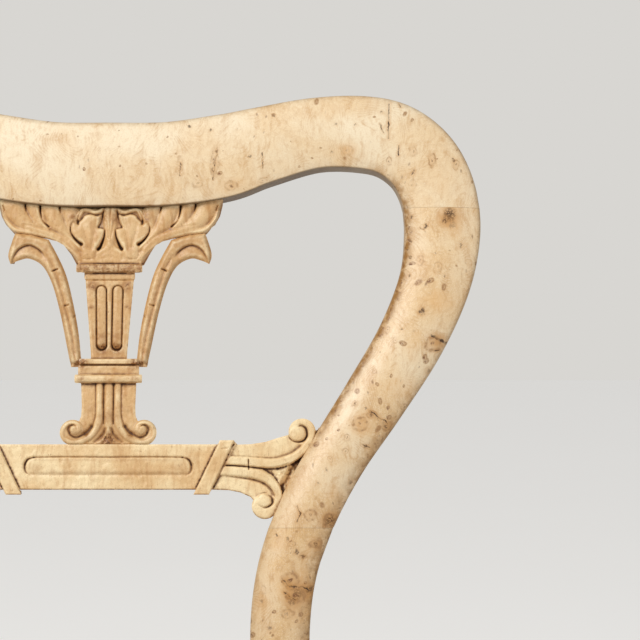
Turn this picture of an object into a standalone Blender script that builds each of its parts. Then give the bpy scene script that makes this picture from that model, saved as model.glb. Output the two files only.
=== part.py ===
"""Swivel chair with an open, carved balloon back in pale burl wood.

Metres, +Z up. The floor is z = 0, the chair faces -Y and its seat turns about the Z axis.
"""

import math

import bmesh
import bpy
import numpy as np
from mathutils import Matrix, Vector

# Fits
GLUE_GAP = 0.0003
RUNNING_GAP = 0.0004
DROP_IN_GAP = 0.0012

# Seat ring, made of four bent rails
SEAT_HEIGHT = 0.430
RING_RADIUS = 0.238
RING_HEIGHT = 0.056
RING_BORDER = 0.050
RING_EDGE_ROUND = 0.004
RING_BEAD_RADIUS = 0.0035
LEDGE_WIDTH = 0.016
REBATE_DEPTH = 0.018
TONGUE_LENGTH = 0.036
TONGUE_WIDTH = 0.022
TONGUE_HEIGHT = 0.020
TONGUE_LIFT = 0.010

# Crossed battens under the seat
BATTEN_WIDTH = 0.046
BATTEN_THICKNESS = 0.020
BATTEN_HOUSING = 0.026

# Drop-in seat
SLIP_FRAME_WIDTH = 0.056
SLIP_FRAME_THICKNESS = 0.016
WEBBING_THICKNESS = 0.0017
WEBBING_STRAP = 0.048
WEBBING_SPACING = 0.072
WEBBING_LAP = 0.036
BASE_CLOTH_THICKNESS = 0.0010
LEATHER_THICKNESS = 0.0018
CUSHION_CROWN = 0.046
CUSHION_OVERHANG = 0.003

# Swivel hardware
PLATE_THICKNESS = 0.008
PLATE_DISC_RADIUS = 0.055
PLATE_ARM_REACH = 0.118
PLATE_ARM_WIDTH = 0.028
PLATE_ARM_FLARE = 1.3
SPINDLE_RADIUS = 0.012
SPINDLE_HEAD_RADIUS = 0.017
SPINDLE_HEAD_HEIGHT = 0.003
SPINDLE_TAIL_RADIUS = 0.010
SPINDLE_TAIL_LENGTH = 0.020
THRUST_WASHER_RADIUS = 0.022
THRUST_WASHER_THICKNESS = 0.002
FLANGE_RADIUS = 0.037
FLANGE_THICKNESS = 0.006
SOCKET_WALL = 0.0045
SOCKET_DEPTH = 0.100
NUT_FLATS = 0.030
NUT_HEIGHT = 0.012
TAIL_WASHER_RADIUS = 0.019
TAIL_WASHER_THICKNESS = 0.002
SCREW_RADIUS = 0.0022
SCREW_LENGTH = 0.014
SCREW_HEAD_RADIUS = 0.0042
SCREW_HEAD_HEIGHT = 0.0016
PLATE_SCREW_CIRCLE = 0.098
FLANGE_SCREW_CIRCLE = 0.030

# Turned hub and drop finial
HUB_BOTTOM = 0.128
HUB_BLOCK_HEIGHT = 0.092
HUB_BLOCK_RADIUS = 0.045
HUB_BEAD_RADIUS = 0.051
HUB_BEAD_HEIGHT = 0.012
HUB_VASE_RADIUS = 0.046
HUB_NECK_RADIUS = 0.029
HUB_CAP_RADIUS = 0.045
HUB_CAP_HEIGHT = 0.014
COUNTERBORE_RADIUS = 0.022
COUNTERBORE_DEPTH = 0.032
FINIAL_RADIUS = 0.043
FINIAL_KNOB_RADIUS = 0.031
FINIAL_NECK_RADIUS = 0.024
FINIAL_DROP = 0.056
FINIAL_SPIGOT = 0.008

# Scroll legs
LEG_SPREAD = 0.280
LEG_ROOT_HEIGHT = 0.171
LEG_ROOT_WIDTH = 0.080
LEG_ANKLE_WIDTH = 0.029
LEG_THICKNESS = 0.034
LEG_EDGE_ROUND = 0.006
FOOT_SCROLL_RADIUS = 0.027
FOOT_FLAT = 0.016
FOOT_RELIEF = 0.002
DOVETAIL_NECK = 0.014
DOVETAIL_WIDTH = 0.019
DOVETAIL_DEPTH = 0.012

# Back frame
BACK_SPAN = 0.490
BACK_HEIGHT = 0.455
BACK_RAKE = math.radians(11)
FRAME_THICKNESS = 0.028
FRAME_CROWN = 0.0045
FRAME_EDGE_ROUND = 0.0035
CREST_WIDTH = 0.0578
THROAT_WIDTH = 0.0486
SHOULDER_WIDTH = 0.0504
STILE_WIDTH = 0.0448
LOWER_STILE_WIDTH = 0.0396
WAIST_WIDTH = 0.0390
STILE_FOOT_WIDTH = 0.0365
SHOULDER_JOINT_DROP = 0.0732
STILE_JOINT_DROP = 0.0248
JOINT_LAND = 0.006
DOWEL_RADIUS = 0.005
DOWEL_LENGTH = 0.040
STILE_TENON_WIDTH = 0.024
STILE_TENON_THICKNESS = 0.015
STILE_TENON_LENGTH = 0.019

# Carved splat and cross rail, set back from the face of the frame
CARVING_SET_BACK = 0.009
CARVING_THICKNESS = 0.014
CARVING_RELIEF = 0.005
CARVING_STEP = 0.0002
CARVING_TENON_THICKNESS = 0.008
SPLAT_TENON_LENGTH = 0.007
SPLAT_TENON_HALF_WIDTH = 0.0105
RAIL_TENON_LENGTH = 0.012
PALMETTE_SPREAD = 0.0745
PALMETTE_DROP = 0.0385
LEAF_WIDTH = 0.0105
CAPITAL_HALF_WIDTH = 0.0230
CAPITAL_HEIGHT = 0.0058
NECK_HEIGHT = 0.0047
STEM_TOP_HALF_WIDTH = 0.0182
STEM_FOOT_HALF_WIDTH = 0.0132
FLUTE_WIDTH = 0.0077
FLUTE_CENTRE = 0.0061
FLUTE_DEPTH = 0.003
FLUTE_STOP = 0.0040
FILLET_HALF_WIDTH = 0.0197
FILLET_HEIGHT = 0.0053
BAND_HALF_WIDTH = 0.0210
BAND_HEIGHT = 0.0054
TORUS_HALF_WIDTH = 0.0231
TORUS_HEIGHT = 0.0069
BASE_HEIGHT = 0.0388
BASE_HALF_WIDTH = 0.0189
REED_HALF_WIDTH = 0.0037
SCROLL_BAND_WIDTH = 0.0046
BASE_SCROLL_RADIUS = 0.0096
BASE_SCROLL_REACH = 0.0224
HORN_REACH = 0.0680
HORN_GROOVE = 0.0016
RAIL_DROP = 0.2303
RAIL_HEIGHT = 0.0301
PANEL_HEIGHT = 0.0110
PANEL_REACH = 0.0555
PANEL_DEPTH = 0.003
RIBBON_WIDTH = 0.0100
RIBBON_TOP_REACH = 0.0790
RIBBON_FOOT_REACH = 0.0621
RIBBON_OVERHANG = 0.0026
UPPER_VOLUTE_RADIUS = 0.0091
UPPER_VOLUTE_LIFT = 0.0085
LOWER_VOLUTE_RADIUS = 0.0098
LOWER_VOLUTE_DROP = 0.0085
VOLUTE_EYE_RADIUS = 0.0026
WEB_HEIGHT = 0.013
WEB_DROP = 0.013
WEB_SET_BACK = 0.004

# Smoothness of the round work
SEAT_STEPS = 40
HUB_STEPS = 24
HARDWARE_STEPS = 20
SCREW_STEPS = 10
DISC_STEPS = 18
WHORL_STEPS = 17
EYE_STEPS = 10
FLATNESS = math.radians(0.05)
WELD_DISTANCE = 0.00001

# Levels that follow from the sizes above
RING_BOTTOM = SEAT_HEIGHT - RING_HEIGHT
RING_OPENING = RING_RADIUS - RING_BORDER
RING_BORE = RING_OPENING - LEDGE_WIDTH
LEDGE_TOP = SEAT_HEIGHT - REBATE_DEPTH
BATTEN_TOP = RING_BOTTOM + BATTEN_THICKNESS
BATTEN_REACH = RING_BORE + BATTEN_HOUSING
PLATE_TOP = RING_BOTTOM - GLUE_GAP
PLATE_BOTTOM = PLATE_TOP - PLATE_THICKNESS
WASHER_TOP = PLATE_BOTTOM - GLUE_GAP
FLANGE_TOP = WASHER_TOP - THRUST_WASHER_THICKNESS - GLUE_GAP
FLANGE_BOTTOM = FLANGE_TOP - FLANGE_THICKNESS
HUB_TOP = FLANGE_BOTTOM - GLUE_GAP
SOCKET_BORE = SPINDLE_RADIUS + RUNNING_GAP
SOCKET_RADIUS = SOCKET_BORE + SOCKET_WALL
COUNTERBORE_ROOF = HUB_BOTTOM + COUNTERBORE_DEPTH
SPINDLE_BOTTOM = COUNTERBORE_ROOF - SPINDLE_TAIL_LENGTH
CARVING_FRONT = -CARVING_SET_BACK
CARVING_BACK = CARVING_FRONT - CARVING_THICKNESS
CARVING_MIDDLE = (CARVING_FRONT + CARVING_BACK) / 2
RAIL_TOP = BACK_HEIGHT - RAIL_DROP
RAIL_BOTTOM = RAIL_TOP - RAIL_HEIGHT
RAIL_MIDDLE = RAIL_TOP - RAIL_HEIGHT / 2
SHOULDER_JOINT_HEIGHT = BACK_HEIGHT - SHOULDER_JOINT_DROP
STILE_JOINT_HEIGHT = RAIL_BOTTOM - STILE_JOINT_DROP

# Course of the back frame's right half, from the middle of the crest down to the foot:
# share of the half span, share of the back's height, width of the wood
FRAME_COURSE = (
    (0.000, 0.903, CREST_WIDTH),
    (0.155, 0.904, CREST_WIDTH),
    (0.302, 0.915, CREST_WIDTH),
    (0.408, 0.931, (CREST_WIDTH + THROAT_WIDTH) / 2),
    (0.555, 0.950, THROAT_WIDTH),
    (0.686, 0.952, (THROAT_WIDTH + SHOULDER_WIDTH) / 2),
    (0.779, 0.940, SHOULDER_WIDTH),
    (0.853, 0.907, SHOULDER_WIDTH),
    (0.895, 0.858, SHOULDER_WIDTH),
    (0.904, 0.801, SHOULDER_WIDTH),
    (0.882, 0.730, (SHOULDER_WIDTH + STILE_WIDTH) / 2),
    (0.816, 0.646, STILE_WIDTH),
    (0.716, 0.558, (STILE_WIDTH + LOWER_STILE_WIDTH) / 2),
    (0.617, 0.476, LOWER_STILE_WIDTH),
    (0.536, 0.394, LOWER_STILE_WIDTH),
    (0.484, 0.314, (LOWER_STILE_WIDTH + WAIST_WIDTH) / 2),
    (0.464, 0.226, WAIST_WIDTH),
    (0.473, 0.125, (WAIST_WIDTH + STILE_FOOT_WIDTH) / 2),
    (0.498, 0.000, STILE_FOOT_WIDTH),
)
COURSE_STEPS = 3
STILE_FOOT_REACH = FRAME_COURSE[-1][0] * BACK_SPAN / 2

# The back stands on the middle of the ring's border, leaning away from the sitter.
# In its own plane the first coordinate runs to the right, the second up, the third to the front.
BORDER_MIDDLE = RING_RADIUS - RING_BORDER / 2
BACK_FOOT_Y = (
    math.sqrt(BORDER_MIDDLE**2 - STILE_FOOT_REACH**2) - FRAME_THICKNESS / 2 * math.cos(BACK_RAKE)
)
BACK_PLANE = Matrix.Translation((0, BACK_FOOT_Y, SEAT_HEIGHT)) @ Matrix.Rotation(
    math.pi / 2 - BACK_RAKE, 4, "X"
)

# Colour, metalness and roughness of each finish
FINISHES = {
    "burl": ((0.85, 0.70, 0.48), 0.0, 0.45),
    "carved": ((0.78, 0.58, 0.36), 0.0, 0.5),
    "beech": ((0.62, 0.44, 0.27), 0.0, 0.6),
    "iron": ((0.09, 0.09, 0.10), 0.9, 0.5),
    "brass": ((0.72, 0.53, 0.22), 1.0, 0.35),
    "jute": ((0.58, 0.46, 0.30), 0.0, 0.9),
    "hair": ((0.25, 0.19, 0.14), 0.0, 1.0),
    "leather": ((0.30, 0.14, 0.07), 0.0, 0.45),
}

for old in list(bpy.data.objects):
    bpy.data.objects.remove(old)
PARTS = bpy.data.collections.new("swivel_chair")
TOOLS = bpy.data.collections.new("cutters")
for group in (PARTS, TOOLS):
    bpy.context.scene.collection.children.link(group)

SWIVEL = bpy.data.objects.new("seat_swivel", None)
SWIVEL.location = (0, 0, WASHER_TOP)
PARTS.objects.link(SWIVEL)
bpy.context.view_layer.update()


# Making pieces

def node(name, mesh, finish, turns=True):
    """A finished piece of the chair; the ones that turn with the seat hang on the swivel."""
    colour, metal, roughness = FINISHES[finish]
    material = bpy.data.materials.new(f"{name}_{finish}")
    material.use_nodes = True
    shader = material.node_tree.nodes["Principled BSDF"]
    shader.inputs["Base Color"].default_value = (*colour, 1)
    shader.inputs["Metallic"].default_value = metal
    shader.inputs["Roughness"].default_value = roughness
    mesh.materials.append(material)
    piece = bpy.data.objects.new(name, mesh)
    PARTS.objects.link(piece)
    if turns:
        piece.parent = SWIVEL
        piece.matrix_parent_inverse = SWIVEL.matrix_world.inverted()
    return piece


def apply_tool(piece, mesh, operation):
    """Cut a mesh out of a piece, or add it, as a live Boolean."""
    tool = bpy.data.objects.new(f"{piece.name}_{operation.lower()}_{len(piece.modifiers)}", mesh)
    tool.hide_render = True
    tool.display_type = "WIRE"
    TOOLS.objects.link(tool)
    modifier = piece.modifiers.new(tool.name, "BOOLEAN")
    modifier.operation = operation
    modifier.solver = "EXACT"
    modifier.object = tool


def cut(piece, mesh):
    apply_tool(piece, mesh, "DIFFERENCE")


def add(piece, mesh):
    apply_tool(piece, mesh, "UNION")


def tidy(mesh):
    """Weld a mesh, join its flat faces and turn them outwards."""
    shape = bmesh.new()
    shape.from_mesh(mesh)
    bmesh.ops.remove_doubles(shape, verts=shape.verts, dist=WELD_DISTANCE)
    bmesh.ops.dissolve_limit(shape, angle_limit=FLATNESS, verts=shape.verts, edges=shape.edges)
    bmesh.ops.recalc_face_normals(shape, faces=shape.faces)
    shape.to_mesh(mesh)
    shape.free()
    return mesh


def moved(mesh, matrix):
    mesh.transform(matrix)
    return tidy(mesh)


def in_back(mesh):
    """Place a mesh drawn in the plane of the back."""
    return moved(mesh, BACK_PLANE)


def mirrored(mesh):
    return moved(mesh.copy(), Matrix.Scale(-1, 4, (1, 0, 0)))


def on_side(side, mesh):
    """A copy for the right side as drawn, or for the left side mirrored."""
    return mirrored(mesh) if side == "left" else mesh.copy()


def box(low, high):
    """A block between two opposite corners."""
    shape = bmesh.new()
    low, high = Vector(low), Vector(high)
    bmesh.ops.create_cube(shape, size=1)
    bmesh.ops.scale(shape, vec=high - low, verts=shape.verts)
    bmesh.ops.translate(shape, vec=(high + low) / 2, verts=shape.verts)
    mesh = bpy.data.meshes.new("box")
    shape.to_mesh(mesh)
    shape.free()
    return mesh


def rod(radius, start, end, steps):
    """A round rod between two points."""
    start, end = Vector(start), Vector(end)
    shape = bmesh.new()
    bmesh.ops.create_cone(
        shape, cap_ends=True, segments=steps, radius1=radius, radius2=radius, depth=(end - start).length
    )
    mesh = bpy.data.meshes.new("rod")
    shape.to_mesh(mesh)
    shape.free()
    turn = (end - start).to_track_quat("Z", "Y").to_matrix().to_4x4()
    return moved(mesh, Matrix.Translation((start + end) / 2) @ turn)


def prism(outlines, low, high):
    """A flat outline with any holes, filled and drawn out between two heights."""
    curve = bpy.data.curves.new("outline", "CURVE")
    curve.dimensions = "2D"
    curve.fill_mode = "BOTH"
    curve.extrude = (high - low) / 2
    for outline in outlines:
        spline = curve.splines.new("POLY")
        spline.points.add(len(outline) - 1)
        spline.use_cyclic_u = True
        for point, (across, up) in zip(spline.points, outline):
            point.co = (across, up, 0, 1)
    holder = bpy.data.objects.new("outline", curve)
    mesh = bpy.data.meshes.new_from_object(holder)
    bpy.data.objects.remove(holder)
    return moved(mesh, Matrix.Translation((0, 0, (low + high) / 2)))


def loft(rings):
    """A skin through rings of equal point counts, closed at both ends."""
    count = len(rings[0])
    points = [tuple(point) for ring in rings for point in ring]
    faces = [tuple(range(count)), tuple(range(len(points) - count, len(points)))]
    for ring in range(len(rings) - 1):
        for side in range(count):
            after = (side + 1) % count
            low, high = ring * count, (ring + 1) * count
            faces.append((low + side, low + after, high + after, high + side))
    mesh = bpy.data.meshes.new("loft")
    mesh.from_pydata(points, [], faces)
    return tidy(mesh)


def profile(points, closed):
    """An outline at +X for a turned piece, from the top down its outer side."""
    mesh = bpy.data.meshes.new("profile")
    edges = [(index, index + 1) for index in range(len(points) - 1)]
    if closed:
        edges.append((len(points) - 1, 0))
    mesh.from_pydata([(radius, 0, height) for radius, height in points], edges, [])
    return mesh


def turned(name, points, finish, steps, closed=False, turns=True):
    """A piece turned on the lathe about the Z axis."""
    piece = node(name, profile(points, closed), finish, turns)
    screw = piece.modifiers.new("turning", "SCREW")
    screw.steps = steps
    screw.render_steps = steps
    screw.use_merge_vertices = True
    screw.merge_threshold = WELD_DISTANCE
    return piece


# Drawing lines

def through(points, steps):
    """A smooth line through the given points."""
    given = np.array(points, float)
    ends = np.vstack([2 * given[0] - given[1], given, 2 * given[-1] - given[-2]])
    share = np.arange(steps)[:, None] / steps
    line = []
    for before, start, end, after in zip(ends, ends[1:], ends[2:], ends[3:]):
        bend = 2 * before - 5 * start + 4 * end - after
        twist = 3 * (start - end) + after - before
        line.append(start + share * ((end - before) + share * (bend + share * twist)) / 2)
    return np.vstack(line + [given[-1:]])


def arc(centre, radius, start, end, steps):
    angle = np.linspace(start, end, steps + 1)
    return np.column_stack([centre[0] + radius * np.cos(angle), centre[1] + radius * np.sin(angle)])


def circle(centre, radius, steps):
    return arc(centre, radius, 0, 2 * math.pi, steps)[:-1]


def spiral(centre, outer, inner, start, turns, steps):
    """A volute's line from its outer whorl in to its eye."""
    share = np.linspace(0, 1, steps + 1)
    angle = start + share * turns * 2 * math.pi
    radius = outer + (inner - outer) * share
    return np.column_stack([centre[0] + radius * np.cos(angle), centre[1] + radius * np.sin(angle)])


def ribbon(line, widths):
    """The outline of a band that follows a line, with its width at each point."""
    along = np.gradient(line, axis=0)
    along = along / np.linalg.norm(along, axis=1)[:, None]
    across = np.column_stack([-along[:, 1], along[:, 0]]) * np.array(widths)[:, None] / 2
    return np.vstack([line + across, (line - across)[::-1]])


def both_sides(right_edge):
    """Close an outline drawn on the right by its mirror image on the left."""
    left_edge = right_edge[::-1] * (-1, 1)
    return np.vstack([right_edge, left_edge])


def oblong(left, right, bottom, top):
    return np.array([(left, bottom), (right, bottom), (right, top), (left, top)])


def rectangle(half_width, bottom, top):
    return oblong(-half_width, half_width, bottom, top)


# Course of the back frame

RIGHT_COURSE = np.array(FRAME_COURSE) * (BACK_SPAN / 2, BACK_HEIGHT, 1)
WHOLE_COURSE = np.vstack([RIGHT_COURSE[:0:-1] * (-1, 1, 1), RIGHT_COURSE])
FRAME_LINE = through(WHOLE_COURSE, COURSE_STEPS)
FRAME_ALONG = np.gradient(FRAME_LINE[:, :2], axis=0)
FRAME_ALONG = FRAME_ALONG / np.linalg.norm(FRAME_ALONG, axis=1)[:, None]
RIGHT_HALF = slice(len(FRAME_LINE) // 2, None)


def rising_course():
    """The right half's course and its direction, from the foot up to the top of the shoulder."""
    line, along = FRAME_LINE[RIGHT_HALF][::-1], FRAME_ALONG[RIGHT_HALF][::-1]
    top = np.argmax(line[:, 1])
    return line[:top], along[:top]


def right_station(height):
    """Centre, direction and width of the right stile at a height of the back."""
    line, along = rising_course()
    across, width = (np.interp(height, line[:, 1], line[:, column]) for column in (0, 2))
    direction = np.array([np.interp(height, line[:, 1], along[:, column]) for column in (0, 1)])
    return np.array([across, height]), direction / np.linalg.norm(direction), width


def stile_inner_edge(height):
    """Where the right stile's inner face lies at a height, and the way it faces."""
    line, along = rising_course()
    below_joint = line[:, 1] <= SHOULDER_JOINT_HEIGHT
    line, along = line[below_joint], along[below_joint]
    facing = np.column_stack([along[:, 1], -along[:, 0]])
    edge = line[:, :2] + facing * line[:, 2:] / 2
    across = np.interp(height, edge[:, 1], edge[:, 0])
    outward = -np.array([np.interp(height, edge[:, 1], facing[:, column]) for column in (0, 1)])
    return across, outward / np.linalg.norm(outward)


def crowned_section(width):
    """Section of the frame: crowned front, eased edges, flat back."""
    half = width / 2
    shoulder = half - FRAME_EDGE_ROUND
    front = [
        (share * shoulder, -FRAME_CROWN * (share * shoulder / half) ** 2) for share in (-1, -0.5, 0, 0.5, 1)
    ]
    front_edge = -FRAME_CROWN - FRAME_EDGE_ROUND
    back_edge = -FRAME_THICKNESS + FRAME_EDGE_ROUND
    back = [(half, front_edge), (half, back_edge), (shoulder, -FRAME_THICKNESS)]
    return front + back + [(-across, depth) for across, depth in back[::-1]]


def plain_section(width):
    """A clearance section round the frame, deeper than the wood."""
    half = width / 2 + GLUE_GAP
    front, back = FRAME_THICKNESS / 2, -FRAME_THICKNESS * 1.5
    return [(-half, front), (half, front), (half, back), (-half, back)]


def frame_ring(centre, along, section):
    """A section set square across the course of the frame."""
    across = Vector((-along[1], along[0], 0))
    return [Vector((*centre, depth)) + across * offset for offset, depth in section]


def slide_to(ring, along, facing, level):
    """Lengthen a ring's corners along the wood until they meet a cutting plane."""
    way = Vector((*along, 0))
    return [point + way * ((level - facing.dot(point)) / facing.dot(way)) for point in ring]


def joint_margin(height):
    """How far a level cut across the leaning stile reaches up and down."""
    _, along, width = right_station(height)
    return abs(along[0] / along[1]) * width / 2 + JOINT_LAND


def stations_between(low, high, right_only):
    """Rings of the frame between two heights, clear of the joints at its ends."""
    low, high = low + joint_margin(low), high - joint_margin(high)
    rings = []
    for (across, height, width), along in zip(FRAME_LINE, FRAME_ALONG):
        on_side_asked = across > 0 or not right_only
        if on_side_asked and low < height < high:
            rings.append(frame_ring((across, height), along, crowned_section(width)))
    return rings


UP = Vector((0, 1, 0))
WORLD_UP = Vector((0, math.cos(BACK_RAKE), math.sin(BACK_RAKE)))


def joint_ring(height, level, facing=UP):
    """The right stile's end, cut to a plane."""
    centre, along, width = right_station(height)
    return slide_to(frame_ring(centre, along, crowned_section(width)), along, facing, level)


def flipped(ring):
    """The matching ring on the left side."""
    return [Vector((-point.x, point.y, point.z)) for point in ring]


# Back frame: crest rail, upper and lower stiles, dowels

def dowel_line(height):
    """Ends of the dowel across the joint at a height."""
    centre, along, _ = right_station(height)
    middle = Vector((*centre, -FRAME_THICKNESS / 2))
    reach = Vector((*along, 0)) * DOWEL_LENGTH / 2
    return middle - reach, middle + reach


def dowel(radius, height, spare):
    start, end = dowel_line(height)
    more = (end - start).normalized() * spare
    return in_back(rod(radius, start - more, end + more, SCREW_STEPS))


def stile_tenon(spare):
    """Upright tenon under the right stile, let into the seat ring."""
    centre, _, _ = right_station(0)
    reach = STILE_TENON_WIDTH / 2 + spare
    half = STILE_TENON_THICKNESS / 2 + spare
    middle = BACK_FOOT_Y + FRAME_THICKNESS / 2 * math.cos(BACK_RAKE)
    bottom = SEAT_HEIGHT - STILE_TENON_LENGTH - spare
    low = (centre[0] - reach, middle - half, bottom)
    return box(low, (centre[0] + reach, middle + half, SEAT_HEIGHT + STILE_TENON_LENGTH / 2))


def carving_tenon(low, high, spare):
    """A tenon of the carving, in the plane of the back."""
    half = CARVING_TENON_THICKNESS / 2 + spare
    margin = Vector((spare, spare, 0))
    low, high = Vector((*low, CARVING_MIDDLE - half)), Vector((*high, CARVING_MIDDLE + half))
    return in_back(box(low - margin, high + margin))


def rail_tenon(spare):
    """Tenon of the cross rail in the right stile."""
    edge, _ = stile_inner_edge(RAIL_MIDDLE)
    half = WEB_HEIGHT / 2 - CARVING_RELIEF / 2
    low = (edge - RAIL_TENON_LENGTH, RAIL_MIDDLE - half)
    return carving_tenon(low, (edge + RAIL_TENON_LENGTH, RAIL_MIDDLE + half), spare)


CREST_UNDERSIDE = RIGHT_COURSE[0][1] - CREST_WIDTH / 2
SPLAT_TOP = CREST_UNDERSIDE - GLUE_GAP


def splat_tenon(height, spare):
    """Tenon of the splat in the crest rail or the cross rail."""
    half = SPLAT_TENON_HALF_WIDTH
    low, high = height - SPLAT_TENON_LENGTH, height + SPLAT_TENON_LENGTH
    return carving_tenon((-half, low), (half, high), spare)


right_end = joint_ring(SHOULDER_JOINT_HEIGHT, SHOULDER_JOINT_HEIGHT + GLUE_GAP / 2)
crest_rings = stations_between(SHOULDER_JOINT_HEIGHT, 2 * BACK_HEIGHT, False)
crest_rail = node("crest_rail", in_back(loft([flipped(right_end)] + crest_rings + [right_end])), "burl")
cut(crest_rail, dowel(DOWEL_RADIUS + GLUE_GAP, SHOULDER_JOINT_HEIGHT, GLUE_GAP))
cut(crest_rail, mirrored(dowel(DOWEL_RADIUS + GLUE_GAP, SHOULDER_JOINT_HEIGHT, GLUE_GAP)))
cut(crest_rail, splat_tenon(CREST_UNDERSIDE, GLUE_GAP))

upper_stile = loft(
    [joint_ring(SHOULDER_JOINT_HEIGHT, SHOULDER_JOINT_HEIGHT - GLUE_GAP / 2)]
    + stations_between(STILE_JOINT_HEIGHT, SHOULDER_JOINT_HEIGHT, True)
    + [joint_ring(STILE_JOINT_HEIGHT, STILE_JOINT_HEIGHT + GLUE_GAP / 2)]
)
lower_stile = loft(
    [joint_ring(STILE_JOINT_HEIGHT, STILE_JOINT_HEIGHT - GLUE_GAP / 2)]
    + stations_between(0, STILE_JOINT_HEIGHT, True)
    + [joint_ring(0, GLUE_GAP, WORLD_UP)]
)
upper_stile, lower_stile = in_back(upper_stile), in_back(lower_stile)

for side in ("right", "left"):
    upper = node(f"{side}_upper_stile", on_side(side, upper_stile), "burl")
    lower = node(f"{side}_lower_stile", on_side(side, lower_stile), "burl")
    for height, joined in ((SHOULDER_JOINT_HEIGHT, (upper,)), (STILE_JOINT_HEIGHT, (upper, lower))):
        for piece in joined:
            cut(piece, on_side(side, dowel(DOWEL_RADIUS + GLUE_GAP, height, GLUE_GAP)))
    cut(upper, on_side(side, rail_tenon(GLUE_GAP)))
    add(lower, on_side(side, stile_tenon(0)))
    node(f"{side}_crest_dowel", on_side(side, dowel(DOWEL_RADIUS, SHOULDER_JOINT_HEIGHT, 0)), "beech")
    node(f"{side}_stile_dowel", on_side(side, dowel(DOWEL_RADIUS, STILE_JOINT_HEIGHT, 0)), "beech")


def frame_clearance():
    """The space that the whole frame takes up, with its glue line."""
    return in_back(
        loft(
            [
                frame_ring((across, height), along, plain_section(width))
                for (across, height, width), along in zip(FRAME_LINE, FRAME_ALONG)
            ]
        )
    )


# Carved splat: palmette, capital, fluted stem, moulded foot and scrolled base

def ground(outline, layer=0):
    """Carving at its ground level, through to the back; each layer lies some steps deeper, so that
    no two share a plane."""
    deeper = layer * CARVING_STEP
    return in_back(prism([outline], CARVING_BACK + deeper, CARVING_FRONT - deeper / 2))


def raised(outline, share):
    """Carving that stands up from the ground by a share of the full relief."""
    root = CARVING_MIDDLE + CARVING_RELIEF * share / 2
    return in_back(prism([outline], root, CARVING_FRONT + CARVING_RELIEF * share))


def sunk(outline, depth):
    """A recess in the ground, cut from the front."""
    return in_back(prism([outline], CARVING_FRONT - depth, CARVING_FRONT + 2 * CARVING_RELIEF))


def palmette_points(*shares):
    """Points of the palmette from shares of its spread and its drop."""
    return np.array([(across * PALMETTE_SPREAD, SPLAT_TOP - down * PALMETTE_DROP) for across, down in shares])


LEAF_TIP = palmette_points((1.00, -0.30), (1.00, 0.02), (0.98, 0.18), (0.94, 0.32), (0.855, 0.475))
HORN_SEAT = palmette_points((0.855, 0.475), (0.554, 0.566))
LEAF_ROOT = palmette_points((0.554, 0.566), (0.413, 0.678), (0.350, 0.831), (0.296, 1.000))
LEAVES = (
    ((0.07, 0.97), (0.12, 0.60), (0.19, 0.30), (0.20, 0.02)),
    ((0.20, 0.90), (0.30, 0.55), (0.41, 0.30), (0.46, -0.02)),
    ((0.30, 0.74), (0.44, 0.45), (0.59, 0.28), (0.71, -0.06)),
    ((0.44, 0.48), (0.63, 0.36), (0.80, 0.20), (0.95, -0.06)),
)
LEAF_SWELL = (0.35, 1.0, 1.0, 0.45)
MIDDLE_LEAF_SWELL = (0.3, 0.7, 0.9, 0.8, 0.5)

# Shares of the full relief
MIDDLE_LEAF_RELIEF = 0.9
INNER_LEAF_RELIEF = 0.75
LEAF_RELIEF_STEP = 0.1
REED_RELIEF = 0.7
BASE_SCROLL_RELIEF = 0.55
EYE_RELIEF = 0.75
RAIL_SCROLL_RELIEF = 0.5

CAPITAL_TOP = SPLAT_TOP - PALMETTE_DROP
NECK_TOP = CAPITAL_TOP - CAPITAL_HEIGHT
STEM_TOP = NECK_TOP - NECK_HEIGHT
BASE_BOTTOM = RAIL_TOP + GLUE_GAP
BASE_TOP = BASE_BOTTOM + BASE_HEIGHT
TORUS_TOP = BASE_TOP + TORUS_HEIGHT
BAND_TOP = TORUS_TOP + BAND_HEIGHT
STEM_FOOT = BAND_TOP + FILLET_HEIGHT
SCROLL_EYE = (BASE_SCROLL_REACH, BASE_BOTTOM + BASE_SCROLL_RADIUS)
LAP = GLUE_GAP

splat = node(
    "vase_splat",
    ground(both_sides(np.vstack([through(LEAF_ROOT[::-1], 2), HORN_SEAT[::-1], through(LEAF_TIP[::-1], 2)]))),
    "carved",
)
for rank, leaf in enumerate(LEAVES):
    line = through(palmette_points(*leaf), 3)
    swell = through([(share * LEAF_WIDTH, 0) for share in LEAF_SWELL], 3)[:, 0]
    for way in (1, -1):
        add(splat, raised(ribbon(line * (way, 1), swell), INNER_LEAF_RELIEF - LEAF_RELIEF_STEP * rank))
middle_leaf = through(palmette_points((0, 0.99), (0, 0.5), (0, 0.03)), 2)
add(splat, raised(ribbon(middle_leaf, LEAF_WIDTH * np.array(MIDDLE_LEAF_SWELL)), MIDDLE_LEAF_RELIEF))

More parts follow.
